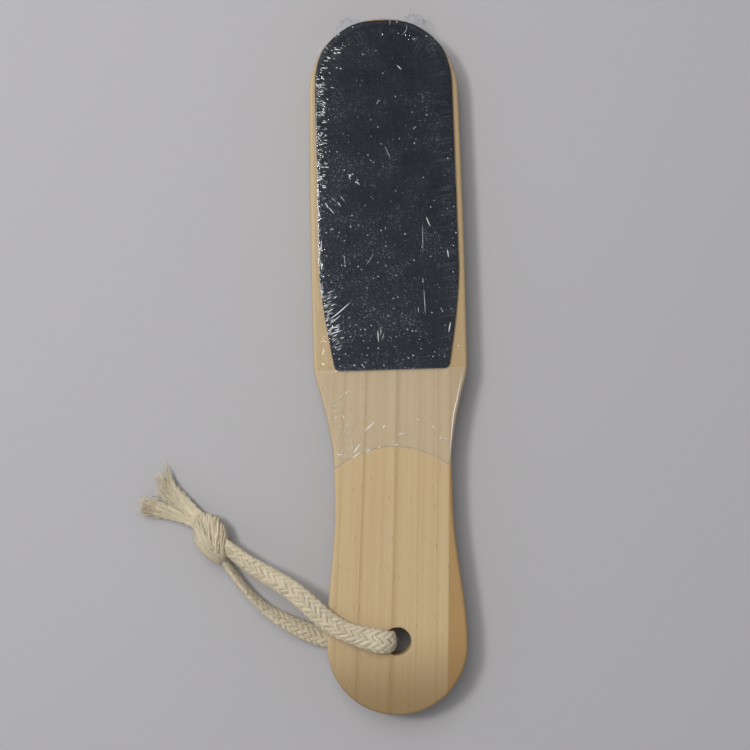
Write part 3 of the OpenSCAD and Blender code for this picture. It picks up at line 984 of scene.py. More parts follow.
# %% [markdown]
# ## The cord as one thing
# The two legs, the knot and the tails go with the loop's body, and the CAD solids that they replace
# are hidden. For each leg, where it leaves the hole, its length, its route and its ends are worked
# out but not kept.

rows_apart = 5


def route_of(rows):
    """The cord's middle line in metres, at every few rows."""
    return laid(rows[::rows_apart, :3]).tolist() + laid(rows[-1:, :3]).tolist()


def to_exit(z):
    """Where a leg leaves the hole, at the height of a face of the wood."""
    return laid([upper_route[0][0], 0, z]).tolist()


for leg, rows, exit_z, cad_node, ends in (
    (upper_leg, upper_rows, top_z, "cord_upper_leg", [knot, upper_tail]),
    (lower_leg, lower_rows, wood_z, "cord_lower_leg", [lower_tail]),
):
    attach(leg, "hanging_loop")
    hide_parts(cad_node)
    to_exit(exit_z)
    float(lengths_along(rows[:, :3])[-1]) * mm
    route_of(rows)
    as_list(ends)
for piece, cad_node in ((knot, "cord_knot"), (upper_tail, "cord_upper_tail"),
                        (lower_tail, "cord_lower_tail")):
    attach(piece, "hanging_loop")
    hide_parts(cad_node)

# %% [markdown]
# ## Pine
# The paddle is cut from one pine board, so its grain runs the whole length as straight bands, and
# the bands lean a little against the paddle's own axis. A ready-made wood texture gives rings of one
# width, so the grain is built from a distance across it, in millimetres. That distance places the
# bands that are broad enough to see: where each starts, how far it fades out and how strong it is.
# Narrower rings come from noise that is stretched along the grain, and fine pores and resin ducts
# from more of it. A brown strip runs down the right side, painted shade darkens the handle's end,
# and the drill has burnt the wall of the hole.

# %% Make the pine finish
pine_light = tone(196, 173, 134)
pine_mid = tone(187, 162, 121)
pine_band = tone(158, 130, 85)
pine_strip = tone(162, 127, 78)
pine_duct = tone(120, 92, 58)
pine_burnt = tone(84, 56, 38)
pine_painted_shade = tone(120, 94, 58)
grain_lean = 0.0445
grain_fan = 0.0009
grain_rise = 0.35
ring_marks = (0.3, 0.7, 0.8)
fine_marks = (0.45, 0.8, 0.16)
pore_marks = (0.6, 0.8, 0.12)
duct_marks = (0.76, 0.8, 0.4)
grain_lines = ((-22.6, 1.0, 0.2), (-14.5, 1.6, 0.55), (-2.5, 3.0, 0.5), (6.5, 1.2, 0.12),
               (13.6, 1.4, 0.25))
line_lead = 0.3
line_onset = 0.1
strip_start, strip_full = 17.7, 18.5
painted_shade_full, painted_shade_gone = -26, 8
painted_shade_share = 0.75
pore_height = 0.00004
hole_r = 5
burn_reach = 0.35


def grain(finish, across, y, scale, stretch, seed, detail=3.0):
    """Noise that is stretched along the grain."""
    return finish.noise(finish.vector(across * scale, y * stretch, seed), 1.0, detail, 0.6)


def marked(finish, colour, noise, marks, mark_tone):
    """A colour with marks on it. They are given as the noise at which they start, the
    noise at which they are full, and their share."""
    start, full, share = marks
    return finish.mixed(noise.rise(start, full) * share, colour, mark_tone)


def pine_finish():
    """The distance across the grain is x, fanned and leaned with y, risen with z and bent
    by slow noise. Each kind of line is mixed over the colours before it."""
    finish = Finish("pine")
    place = finish.place()
    x = place.part("X") * (1 / mm)
    y = (place.part("Y") - float(hole_middle[1])) * (1 / mm)
    z = (place.part("Z") - float(hole_middle[2])) * (1 / mm)
    slow = finish.noise(finish.vector(x * 0.03, y * 0.012, 0.0), 1.0, 1.0)
    across = (x * (y * grain_fan + 1) - y * grain_lean + (z - paddle_t / 2) * grain_rise
              + (slow - 0.5) * 1.0)
    rings = grain(finish, across, y, 0.55, 0.006, 3.0)
    fine = grain(finish, across, y, 4.5, 0.05, 7.0)
    pores = grain(finish, across, y, 14, 0.5, 11.0, 2.0)
    colour = marked(finish, pine_light, rings, ring_marks, pine_mid)
    for start, fade, strength in grain_lines:
        onset = across.rise(start - line_lead, start + line_onset)
        line = onset * (1 - across.rise(start, start + fade))
        colour = finish.mixed(line * strength, colour, pine_band)
    strip = across.rise(strip_start, strip_full) * (0.85 - y.rise(55, 90) * 0.5)
    colour = finish.mixed(strip, colour, pine_strip)
    # Painted shade: the handle's end is darkened towards a shade colour.
    colour = finish.mixed((1 - y.rise(painted_shade_full, painted_shade_gone)) * painted_shade_share, colour, pine_painted_shade)
    colour = marked(finish, colour, fine, fine_marks, pine_band)
    colour = marked(finish, colour, pores, pore_marks, pine_band)
    ducts = finish.noise(finish.vector(across * 2.6, y * 0.28, 19.0), 1.0, 0.0)
    colour = marked(finish, colour, ducts, duct_marks, pine_duct)
    from_axis = (x * x + y * y) ** 0.5 + (fine - 0.5) * 0.5
    burn = 1 - from_axis.rise(hole_r + burn_reach * 0.2, hole_r + burn_reach)
    scorch = finish.noise(place, 700.0, 2.0) + x * -0.035 + y * 0.035
    colour = finish.mixed(burn * scorch.rise(0.42, 0.6) * 0.95, colour, pine_burnt)
    normal = finish.bump(fine * 0.6 + pores, pore_height)
    shader = finish.principled({"Base Color": colour, "Roughness": 0.62 + burn * 0.2,
                                "Normal": normal, "Specular IOR Level": 0.3})
    return finish.surface(shader)


pine = pine_finish()
print("pine has", len(grain_lines), "broad bands")

# %% [markdown]
# ## The paddle
# The real paddle is sawn to an outline, its edges are rounded over, and the hole is
# drilled. In numpy it is one closed surface like a flat ring: up the wall of the hole,
# over the face, round the edge, back over the other face. Cutting the hole with a Boolean
# would leave long thin faces that shade badly. The outline's half width is the CAD
# source's own function of the distance from the hole.

# %% Draw the paddle's outline
paddle_len = 250
handle_r = 50.6 / 2
waist_r = 42.3 / 2
head_r = 55.2 / 2
tip_r = 53.4 / 2
waist_start = 50
waist_end = 65
head_start = 97
taper_start = 121
shoulder_power = 1.5
soften = 3.2
edge_r = 1.2
hole_to_end = 26.6
handle_y = handle_r - hole_to_end
head_end = paddle_len - hole_to_end
tip_y = head_end - tip_r
dense_steps = 600


def plain_half_w(y):
    """The handle narrows by a cosine to the waist, the shoulder swells by a power, and the
    head narrows by a square."""
    narrowing = mix(handle_r, waist_r, (1 - np.cos(np.pi * share_of(y, handle_y, waist_start))) / 2)
    swelling = mix(waist_r, head_r, share_of(y, waist_end, head_start) ** shoulder_power)
    head = mix(head_r, tip_r, share_of(y, taper_start, tip_y) ** 2)
    return np.where(y < waist_start, narrowing, np.where(y < head_start, swelling, head))


def half_w(y):
    """The plain half width, smoothed over a short way before and after."""
    return (plain_half_w(y - soften) + 2 * plain_half_w(y) + plain_half_w(y + soften)) / 4


def right_side(first_y):
    """Dense points up the right side from a height and round to the middle of the end."""
    y = np.linspace(first_y, tip_y, dense_steps)
    a = np.linspace(0, np.pi / 2, dense_steps)[1:]
    edge = np.stack([half_w(y), y], axis=1)
    end = np.stack([tip_r * np.cos(a), tip_y + tip_r * np.sin(a)], axis=1)
    return np.concatenate([edge, end])


print("head", 2 * head_r, "mm wide, waist", 2 * waist_r, "mm, handle", 2 * handle_r, "mm")

# %% [markdown]
# ## Level paths
# A path that is drawn densely is then divided into even steps, so that the faces along it
# are alike. Its left side mirrors its right side. The rings of a surface are such paths,
# moved outwards or inwards and raised to a height.

# %% Divide, mirror and raise paths
outline_points = 520


def even_path(points, count):
    """Points at even distances along a path."""
    run = lengths_along(points)
    places = np.linspace(0, run[-1], count)
    return np.stack([np.interp(places, run, column) for column in points.T], axis=1)


def mirror(points):
    """The same path on the left side, run the other way."""
    return points[::-1] * np.array([-1, 1])


def paddle_outline(count):
    """The whole outline from the foot round to itself: a half circle, the right side and
    both again on the left."""
    a = np.linspace(-np.pi / 2, 0, dense_steps)[:-1]
    foot = np.stack([handle_r * np.cos(a), handle_y + handle_r * np.sin(a)], axis=1)
    right_half = np.concatenate([foot, right_side(handle_y)])
    whole = np.concatenate([right_half, mirror(right_half)[1:]])
    return even_path(whole, count + 1)[:-1]


def outward_of(path, closed):
    """The level direction out of a path that runs counter-clockwise."""
    if closed:
        step = np.roll(path, -1, axis=0) - np.roll(path, 1, axis=0)
    else:
        step = np.gradient(path, axis=0)
    step = unit(step)
    return np.stack([step[:, 1], -step[:, 0]], axis=1)


def raised(path, z):
    """A level path at a height."""
    return np.concatenate([path, np.broadcast_to(z, (len(path),))[:, None]], axis=1)


def smooth_noise(angle, draw, waves, rough):
    """A sum of sines round a circle, each a random phase, weaker as it is shorter."""
    total = np.zeros_like(angle)
    for wave in waves:
        total += np.sin(wave * angle + draw.uniform(0, 2 * np.pi)) / wave**rough
    return total


round_the_outline = lengths_along(paddle_outline(outline_points))[-1]
print("the way round the paddle's outline is", round(float(round_the_outline)), "mm")

# %% [markdown]
# ## The wood between the hole and the edge
# Each ring of the surface has as many points as the outline. The first rings go up the
# wall of the hole, where the drill leaves a torn rim: noise on the hole's radius, and one
# larger chip. A row of `rim_rings` is how much wider than the hole the ring is, its share
# of the torn noise, how far it lies under the face, and how much further where it is torn.

# %% Make the paddle
edge_steps = 7
edge_margin = 0.25
face_shares = (0.25, 0.5, 0.75)
torn_waves = (3, 7, 12, 19, 31)
torn_height = 0.1
chip_depth, chip_angle, chip_reach = 0.55, -0.5, 0.45
rim_rings = (
    (0, 0.1, 1.0, 0),
    (0, 0.5, 0.35, 0),
    (0.12, 1, 0.1, 0.2),
    (0.45, 1, 0, 0),
    (1.2, 0, 0, 0),
)


def half_of_paddle(outline, out, ring, torn, face_z, sign):
    """Rings from the middle of the hole's wall over one face to the middle of the edge,
    which is rounded by a quarter circle."""
    rings = [raised(ring * hole_r, mid_z)]
    for wider, torn_share, under, torn_under in rim_rings:
        radius = hole_r + wider + torn_share * torn
        rings.append(raised(ring * radius[:, None],
                            face_z - sign * (under + torn_under * np.abs(torn))))
    flat_edge = outline - out * (edge_r + edge_margin)
    for share in face_shares:
        rings.append(raised(mix(ring * (hole_r + rim_rings[-1][0]), flat_edge, share), face_z))
    rings.append(raised(flat_edge, face_z))
    for a in np.pi / 2 * np.arange(edge_steps + 1) / edge_steps:
        inset = edge_r * (1 - np.sin(a))
        rings.append(raised(outline - out * inset, face_z - sign * edge_r * (1 - np.cos(a))))
    return rings + [raised(outline, mid_z)]


def make_paddle():
    """Both halves, joined in the wall of the hole and in the edge."""
    outline = paddle_outline(outline_points)
    out = outward_of(outline, True)
    around = np.arctan2(outline[:, 1], outline[:, 0])
    ring = np.stack([np.cos(around), np.sin(around)], axis=1)
    draw = np.random.default_rng(5)
    torn = torn_height * smooth_noise(around, draw, torn_waves, 0.4)
    torn = torn + chip_depth * np.exp(-((around - chip_angle) / chip_reach) ** 2)
    upper = half_of_paddle(outline, out, ring, torn, top_z, 1)
    lower = half_of_paddle(outline, out, ring, torn, wood_z, -1)
    points = np.stack(upper + lower[::-1][1:-1])
    index = np.arange(points.shape[0] * outline_points).reshape(-1, outline_points)
    ahead_ring = np.roll(index, -1, axis=0)
    beside = np.roll(index, -1, axis=1)
    both = np.roll(ahead_ring, -1, axis=1)
    quads = np.stack([index, ahead_ring, both, beside], axis=-1).reshape(-1, 4)
    return add_piece("sawn_paddle", laid(points.reshape(-1, 3)), [quads], pine)


paddle = make_paddle()
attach(paddle, "foot_file")
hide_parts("paddle")

# %% [markdown]
# ## The abrasive sheets
# Each sheet is a coat of grains on a cloth backing with an adhesive film under it. The coarse grains
# are about 0.3 mm, which shows, so the upper coat gets a surface of its own. The fine coat keeps its
# CAD solid, because its grains are too small to see. Both finishes use the same sums: Voronoi cells
# are the grains, each with a shade of its own, noise that is stretched along the sheet paints faint
# streaks of light that stand for the film's wrinkles, and a few facets of a finer pattern get
# painted sparks. A painted sheen makes the sheet lighter towards the left side and the foot, and
# there are fewer painted glints and sparks towards the head's end and the right side.

# %% Make the grit finishes
grit_dark = tone(22, 26, 32)
grit_light = tone(60, 64, 71)
grit_painted_glint = tone(130, 136, 145)
grit_painted_spark = tone(190, 198, 212)
coarse_scale = 3200.0
fine_scale = 6500.0
facet_scale = 1700.0
patch_scale = 90.0
drift_scale = 60.0
painted_streak_scales = (900.0, 110.0, 900.0)
lean_right, lean_ahead = 1.2, 0.9
painted_sheen_lean = 2.5
own_share, painted_streak_share, patch_share, shade_drop = 0.4, 0.35, 0.6, 0.2
glint_start, glint_full, glint_share = 0.88, 0.98, 0.7
patch_start, patch_full, lean_glint = 0.3, 0.6, 2
drift_share = 0.3
spark_rare, spark_all = 1.0, 1.04
spark_least, spark_spread = 0.18, 0.5
spot_full, spot_gone = 0.4, 1.1
dome_share, step_share = 0.7, 0.6
grain_height = 0.00022


def grit_finish(name, scale, height, lift, sparkle):
    """The shade is a sum of each grain's own, the painted streaks and the patches, less a painted
    sheen's fall towards the head's end and the right side. A painted spark is a small round spot in
    a rare facet."""
    finish = Finish(name)
    place = finish.place()
    settings = {"feature": "F1"}
    grain_sockets = {"Vector": place, "Scale": scale}
    grains = finish.node("ShaderNodeTexVoronoi", settings, grain_sockets)
    cell = finish.node("ShaderNodeTexVoronoi", settings, grain_sockets, "Color")
    own = cell.part("X")
    patches = finish.noise(place, patch_scale, 2.0)
    # Painted sheen: lean grows towards the right side and the head's end, and the shade falls with
    # it, so the sheet is lighter to the left and the foot.
    lean = place.part("X") * lean_right + place.part("Y") * lean_ahead
    # Painted reflection: faint streaks stretched along the sheet stand for light on the film's
    # wrinkles.
    threads_and_painted_streaks = finish.noise(place.stretched(painted_streak_scales), 1.0, 2.0)
    shade = (own * own_share + threads_and_painted_streaks * painted_streak_share + patches * patch_share - shade_drop
             + lift - lean * painted_sheen_lean)
    shade = shade.at_least(0.0).at_most(1.0)
    colour = finish.mixed(shade, grit_dark, grit_light)
    # Painted glints: a few grains are coloured towards a pale glint tone, fewer towards the right
    # and the head's end.
    glints = own.rise(glint_start, glint_full)
    glints = glints * (patches - lean * lean_glint).rise(patch_start, patch_full)
    colour = finish.mixed(glints * glint_share, colour, grit_painted_glint)
    # Painted sparks: small pale spots in rare facets stand for grains that catch the lamp.
    facet_sockets = {"Vector": place, "Scale": facet_scale}
    facets = finish.node("ShaderNodeTexVoronoi", settings, facet_sockets)
    facet_cell = finish.node("ShaderNodeTexVoronoi", settings, facet_sockets, "Color")
    drifts = finish.noise(place, drift_scale, 2.0)
    rare = (facet_cell.part("X") + drifts * drift_share - lean).rise(spark_rare, spark_all)
    spot_r = facet_cell.part("Y") ** 3 * spark_spread + spark_least
    spot = 1 - (facets / spot_r).rise(spot_full, spot_gone)
    spark = rare * spot * facet_cell.part("Z") ** 2 * sparkle
    colour = finish.mixed(spark, colour, grit_painted_spark)
    relief = (1 - grains) * dome_share + own * step_share
    normal = finish.bump(relief, height)
    shader = finish.principled({"Base Color": colour, "Roughness": 0.55 + cell.part("Y") * 0.3,
                                "Normal": normal, "Specular IOR Level": 0.2})
    return finish.surface(shader)


coarse_grit = grit_finish("coarse_grit", coarse_scale, grain_height, 0.0, 2.0)
fine_grit = grit_finish("fine_grit", fine_scale, grain_height / 3, 0.15, 0.2)
print("finishes:", coarse_grit.name, "and", fine_grit.name)

# %% [markdown]
# ## Cloth and adhesive
# Both layers under the grit are the sheet's own width, so they show only as two thin lines
# on its edge. They keep their CAD solids. A product of two sines is enough for the threads
# of the cloth, and a longer one for the ripples of the adhesive.

# %% Finish the layers under the grit
cloudy_scale = 400.0
thread_height = 0.00003
cloth_threads, film_ripples = 9000.0, 2000.0


def plain_sheet_finish(name, first, second, across, roughness):
    """A woven or sticky layer seen only on its edge: the product of a sine along each of
    the level axes."""
    finish = Finish(name)
    place = finish.place()
    threads_and_painted_streaks = (place.part("X") * across).wave() * (place.part("Y") * across).wave()
    cloudy = finish.noise(place, cloudy_scale, 3.0)
    shade = (threads_and_painted_streaks * 0.25 + cloudy).at_least(0.0).at_most(1.0)
    colour = finish.mixed(shade, first, second)
    normal = finish.bump(threads_and_painted_streaks + cloudy, thread_height)
    shader = finish.principled({"Base Color": colour, "Roughness": roughness, "Normal": normal})
    return finish.surface(shader)


backing_cloth = plain_sheet_finish(
    "backing_cloth", tone(34, 34, 38), tone(66, 66, 72), cloth_threads, 0.9)
tacky_film = plain_sheet_finish(
    "tacky_film", tone(168, 150, 112), tone(200, 184, 150), film_ripples, 0.45)


def dress(node, finish):
    """Give a CAD node's own solid a finish."""
    slots = frame["nodes"][node].material_slots
    for slot in slots:
        slot.material = finish
    if not slots:
        frame["nodes"][node].data.materials.append(finish)


dressed_nodes = {"fine_grit": fine_grit, "coarse_backing": backing_cloth,
                 "fine_backing": backing_cloth, "coarse_adhesive": tacky_film,
                 "fine_adhesive": tacky_film}
for node, node_finish in dressed_nodes.items():
    dress(node, node_finish)
print("CAD solids with new finishes:", ", ".join(dressed_nodes))

# %% [markdown]
# ## The coarse grains
# Real grit is thousands of loose grains in resin. One surface is enough for them: a dense
# grid inside the sheet's outline, raised by noise, with bump for the grains' facets. The
# sheet's foot has round corners, its end is round, and it was stuck on a little askew.

# %% Draw the sheet's outline
sheet_len = 125
sheet_end = head_end - 0.9
sheet_tip_r = 49 / 2
sheet_r = 50 / 2
sheet_foot_r = 40.6 / 2
sheet_taper = 37
sheet_corner_r = 2
sheet_tip_y = sheet_end - sheet_tip_r
sheet_foot_y = sheet_end - sheet_len
sheet_taper_y = sheet_foot_y + sheet_taper
coarse_skew = 0.3
blunt_power = 2.35
least_rim = 0.4
coarse_low = top_z + 0.5
coarse_top = top_z + 1.05


def sheet_half_w(y):
    """Half the sheet's width: straight, then narrowing to the foot by a power, with round
    corners at the foot and a half circle at the tip, made a little blunter by its power."""
    straight = mix(sheet_r, sheet_tip_r, share_of(y, sheet_taper_y, sheet_tip_y))
    foot = mix(sheet_r, sheet_foot_r, share_of(y, sheet_taper_y, sheet_foot_y) ** shoulder_power)
    wide = np.where(y > sheet_taper_y, straight, foot)
    past = np.clip(y - sheet_tip_y, 0, sheet_tip_r) / sheet_tip_r
    tip = sheet_tip_r * (1 - past**blunt_power) ** (1 / blunt_power)
    wood = np.sqrt(tip_r**2 - np.clip(y - tip_y, 0, tip_r) ** 2) - least_rim
    wide = np.where(y > sheet_tip_y, np.minimum(tip, wood), wide)
    below = np.clip(sheet_foot_y + sheet_corner_r - y, 0, sheet_corner_r)
    return wide - sheet_corner_r + np.sqrt(sheet_corner_r**2 - below**2)


def askew(points):
    """Turned about the middle of the sheet's round end, as the real sheet was stuck on."""
    angle = math.radians(coarse_skew)
    x = points[..., 0]
    y = points[..., 1] - sheet_tip_y
    turned = points.copy()
    turned[..., 0] = x * math.cos(angle) - y * math.sin(angle)
    turned[..., 1] = x * math.sin(angle) + y * math.cos(angle) + sheet_tip_y
    return turned


print("the coarse sheet is", sheet_len, "mm long and", 2 * sheet_r, "mm wide")

# %% Lay the coarse grains
grain_depth = 0.16
last_row_gap = 0.02


def make_coarse_grit():
    """Rows along the sheet, closer together round the tip, each with points across it. The
    height is the coat's top less noise, and a skirt closes the sides and the bottom."""
    columns, straight_rows, tip_rows, foot_rows = 140, 250, 60, 8
    a = np.linspace(0, np.pi / 2, tip_rows)
    foot_a = np.linspace(np.pi / 2, 0, foot_rows)
    y = np.concatenate([
        sheet_foot_y + sheet_corner_r * (1 - np.sin(foot_a)),
        np.linspace(sheet_foot_y + sheet_corner_r, sheet_tip_y, straight_rows)[1:],
        sheet_tip_y + sheet_tip_r * np.sin(a[1:-1]),
        [sheet_end - last_row_gap],
    ])
    u = np.linspace(-1, 1, columns)
    draw = np.random.default_rng(8)
    rough = draw.uniform(0, 1, (len(y), columns))
    rough = (rough + np.roll(rough, 1, 0) + np.roll(rough, 1, 1)) / 3
    x = sheet_half_w(y)[:, None] * u
    z = coarse_top - grain_depth * rough
    top = np.stack([x, np.broadcast_to(y[:, None], x.shape), z], axis=-1)
    rows = len(y)
    index = np.arange(rows * columns).reshape(rows, columns)
    faces = np.stack([index[:-1, :-1], index[:-1, 1:], index[1:, 1:], index[1:, :-1]], axis=-1)
    rim = np.concatenate([index[0, :-1], index[:-1, -1], index[-1, :0:-1], index[:0:-1, 0]])
    low = top.reshape(-1, 3)[rim].copy()
    low[:, 2] = coarse_low
    below = np.arange(len(rim)) + rows * columns
    skirt = np.stack([below, np.roll(below, -1), np.roll(rim, -1), rim], axis=-1)
    points = laid(askew(np.concatenate([top.reshape(-1, 3), low])))
    return add_piece("coarse_grains", points,
                     [faces.reshape(-1, 4), skirt, below[::-1][None]], coarse_grit)


coarse_grains = make_coarse_grit()
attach(coarse_grains, "foot_file")
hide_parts("coarse_grit")

# %% [markdown]
# ## Clear film
# Shrink film shows by what it reflects. Glass shaders bend light and darken what they cover, so the
# finish is a clear shader with a share of gloss that follows the angle of view, as on real film, and
# a little haze where the film is creased. Fine wrinkles stand square to the edges, where the film
# shrank most, and are a bump; faint pale rays over the dark sheet are painted highlights. They
# follow `lay`: the distance round the edge, the distance in from it, and the share of painted white
# there, which is a little painted sheen over the bare wood and a painted glint on a fold.

# %% Make the film finish
film_mirror = 0.018
film_tint = (0.996, 0.998, 1.0, 1.0)
film_haze = tone(150, 157, 172)
film_painted_glint = tone(252, 252, 252)
painted_glint_onset = 0.01
shoulder_reach = 7
rim_w = 2.7
rim_fade = 0.5
shoulder_drop = 0.9
streak_lean = 0.25
streak_height = 0.55
reach_least, reach_spread = 3, 12
painted_ray_share = 0.016
ray_full, ray_gone = 3, 15
crumple_scale = 900.0
crumple_height = 0.25
crumple_least = 0.2
loose_scales = (90.0, 60.0, 90.0)
edge_blur, face_blur_less, painted_glint_blur_more = 0.5, 0.43, 0.12
blur_start, blur_end = 0.8, 2.4


def film_bump(finish, place, around, inward, over_sheet):
    """The bump's height: streaks near the edge, plus crumples where the film is loose, less
    a square of the nearness to the edge, which rounds the film's shoulder."""
    streak_place = finish.vector(around * 0.8 + inward * streak_lean, inward * 0.3, 0.0)
    streaks = (finish.noise(streak_place, 1.0, 1.0, 0.4) - 0.5) * over_sheet
    reach = finish.noise(finish.vector(around * 0.14, 0.0, 5.0), 1.0, 2.0)
    near_edge = 1 - (inward / (reach * reach_spread + reach_least)).rise(0.3, 1.0)
    crumple = (finish.noise(place, crumple_scale, 1.0, 0.5) - 0.5) * over_sheet
    loose = finish.noise(place.stretched(loose_scales), 1.0, 1.0).rise(0.58, 0.72)
    shoulder = (1 - inward.at_least(rim_w) / shoulder_reach).at_least(0.0) ** 2
    height = (streaks * near_edge * streak_height
              + crumple * (loose + crumple_least) * crumple_height - shoulder * shoulder_drop)
    return finish.bump(height, mm)


def film_finish():
    """Clear, then grey by the haze, then white by the painted glints and the painted rays, then
    gloss by the fifth power of how glancing the view is."""
    finish = Finish("clear_film")
    lay = finish.attribute("lay")
    haze = finish.attribute("depth", "Fac")
    around, inward, painted_glint_share = (lay.part(axis) for axis in "XYZ")
    painted_glint_mask = painted_glint_share.rise(0.0, painted_glint_onset)
    over_sheet = (1 - painted_glint_mask) * inward.rise(rim_w - rim_fade, rim_w + rim_fade)
    normal = film_bump(finish, finish.place(), around, inward, over_sheet)
    clear = finish.node("ShaderNodeBsdfTransparent", {}, {"Color": film_tint})
    blur = (edge_blur - inward.rise(blur_start, blur_end) * face_blur_less
            + painted_glint_mask * painted_glint_blur_more)
    gloss = finish.node("ShaderNodeBsdfGlossy", {}, {"Roughness": blur, "Normal": normal})
    glancing = finish.node("ShaderNodeLayerWeight", {}, {"Blend": 0.5, "Normal": normal}, "Facing")
    gloss_share = glancing**5 * (1 - film_mirror) + film_mirror
    grey = finish.node("ShaderNodeBsdfDiffuse", {}, {"Color": film_haze})
    painted_white = finish.node("ShaderNodeBsdfDiffuse", {}, {"Color": film_painted_glint})
    hazy = finish.share_between(haze, clear, grey)
    # Painted highlight: faint pale rays near the sheet's edges are a share of white.
    ray_place = finish.vector(around * 1.5 + inward * streak_lean, inward * 0.1, 3.0)
    rays = finish.noise(ray_place, 1.0, 2.0).rise(0.5, 0.72) * over_sheet
    rays = rays * (1 - inward.rise(ray_full, ray_gone))
    # Painted glints: white diffuse is mixed in on the folds, on the rays and over the bare wood.
    with_painted_glints = finish.share_between(painted_glint_share + rays * painted_ray_share, hazy, painted_white)
    return finish.surface(finish.share_between(gloss_share, with_painted_glints, gloss))


clear_film = film_finish()
print("the film mirrors", film_mirror, "of the light that falls on it squarely")

# %% [markdown]
# ## The shrink sleeve
# The film is a bag round the head, open at the hem over the waist. It could be shrunk on by a cloth
# simulation, but its folds would come out anywhere, so it is laid on, with its folds listed.
# What shows most are small standing folds, which carry painted white glints. Each is a path of x, y
# points in the paddle's frame. There are bright ones, faint ones, and dots, which are folds too
# short to show a direction.

# %% Place the bright folds
bright_folds = (
    ((-16.1, 217.5), (-15, 217.9)),
    ((-10.7, 220), (-10.1, 220.4)),
    ((-17.3, 212.6), (-15.5, 212.2)),
    ((-16.4, 211.1), (-14.7, 211.2)),
    ((-15.4, 205.7), (-14.7, 205.3)),
    ((-22.4, 205.9), (-19.4, 205.8)),
    ((5, 206.3), (6.7, 204.5)),
    ((-10.8, 165.3), (-9.3, 163.7)),
    ((-13.3, 166.3), (-12.2, 167.8)),
    ((-22.7, 189.7), (-21.2, 188.6)),
    ((-21.9, 157.9), (-20.6, 155.5)),
    ((-20.6, 156), (-18.8, 153.7)),
    ((-17.5, 158), (-16.2, 156.1)),
    ((14.1, 151.9), (15.5, 148.1)),
    ((21.4, 140.1), (21.8, 136.9)),
    ((-21.9, 115.5), (-18.1, 118.2), (-13.3, 122.3)),
    ((-21, 114.4), (-17.1, 117.6)),
    ((-22.5, 118.3), (-19.7, 119.9)),
    ((-21.6, 112.8), (-17.5, 113.3)),
    ((-21.1, 110.9), (-17.6, 111.6)),
    ((-4.2, 111.9), (-4, 107.2)),
    ((21.9, 114.2), (21.1, 110.2)),
    ((-23.5, 144.1), (-23.8, 139.7)),
    ((-23.8, 136.5), (-23.6, 133.5)),
    ((26.1, 97.8), (24.9, 92.3), (23.2, 84.8), (22.1, 80.9), (21.3, 74.3), (20.1, 63)),
    ((-10.4, 75.6), (-8, 77.2), (-5.7, 79.3)),
    ((-3.5, 76.4), (-2.3, 77.9)),
    ((-14.5, 67.3), (-12.5, 69.8), (-11.1, 71.8)),
    ((-9.8, 68), (-7.6, 69.3)),
    ((-14.7, 66.1), (-10.9, 68.4)),
    ((-5.2, 69.7), (-4.1, 69.7)),
    ((8.7, 79.5), (10.4, 79.2)),
    ((14.6, 76.1), (14.9, 77.3)),
    ((17.0, 72.1), (17.4, 72.9)),
    ((18.9, 72.7), (19.5, 71.9)),
    ((2.0, 74.3), (4.8, 74.4)),
    ((0.5, 70.4), (2.3, 70.5)),
    ((-20.1, 67.9), (-18.3, 67.2)),
    ((-19.6, 81.1), (-20.5, 80.3)),
    ((-17.4, 81.5), (-17.2, 80.6)),
)
bright_dots = (
    (-13.0, 167.4), (-12.7, 166.1), (-11.7, 167.6), (-10.0, 165.6), (-10.8, 164.7),
    (-1.7, 193.7), (4.2, 195.0), (-2.3, 184.3), (-6.1, 174.4), (-5.1, 172.4),
    (-19.8, 176.0), (-17.1, 175.8), (-14.7, 169.2), (22.4, 172.5), (5.4, 221.6),
    (-3.6, 130.9), (3.3, 123.3), (-7.7, 126.9), (-0.3, 116.8), (-14.0, 109.6),
    (-10.4, 112.1), (-8.7, 112.0), (-7.8, 105.4), (-10.1, 99.4), (-8.9, 100.3),
    (15.3, 101.8), (6.5, 101.5), (23.3, 131.8), (15.3, 117.5), (-2.1, 147.3),
    (-15.5, 138.2), (-15.3, 134.9), (-20.3, 129.2), (-11.8, 113.8), (-14.3, 116.4),
    (-20.1, 103.6), (-2.3, 99.0), (-17.9, 99.2),
)
print("folds:", len(bright_folds), "bright,", len(bright_dots), "dots")

# %% [markdown]
# ## Faint folds
# Some folds show only faintly, being lower or turned away from the lamp. The same mesh does for
# them, with a smaller painted glint on it.

# %% Place the faint folds
faint_folds = (
    ((-24.4, 209.7), (-22.2, 213.0), (-19.2, 216.5), (-15.6, 219.4)),
    ((8.9, 221.4), (8.9, 218.8), (6.7, 216.4)),
    ((3.2, 222.8), (2.7, 220.4)),
    ((10.6, 215.6), (11.9, 214.9)),
    ((-1.8, 193.9), (-2.6, 192.3)),
    ((-0.1, 177.7), (2, 172.6)),
    ((-16.6, 160.5), (-14.6, 157.5)),
    ((-19.7, 159.7), (-17.9, 157.8)),
    ((-8.3, 134.5), (-6.3, 136.9), (-4.6, 140.2)),
    ((-15.6, 139), (-15.2, 134.5)),
    ((12.3, 130.3), (12.5, 127.9)),
    ((12.8, 149.9), (12.6, 138.1)),
    ((12.6, 126.7), (13, 116.1)),
    ((10.5, 119.8), (10.5, 117.4)),
    ((18.3, 119.4), (19.5, 117.3)),
    ((-3, 113.5), (-3.3, 109.3)),
    ((-1.9, 111), (-2.8, 107.9)),
    ((-10.3, 80.4), (-8.3, 81.3)),
    ((2.4, 74.3), (5.3, 74.5)),
    ((9, 79.4), (10.4, 79.3)),
    ((-10.9, 68.4), (-7.2, 70)),
    ((0.5, 70.4), (2.4, 70.5)),
    ((16.8, 73.2), (17.5, 72.2)),
    ((18.8, 72.8), (19.5, 71.7)),
)
print("folds:", len(faint_folds), "faint")

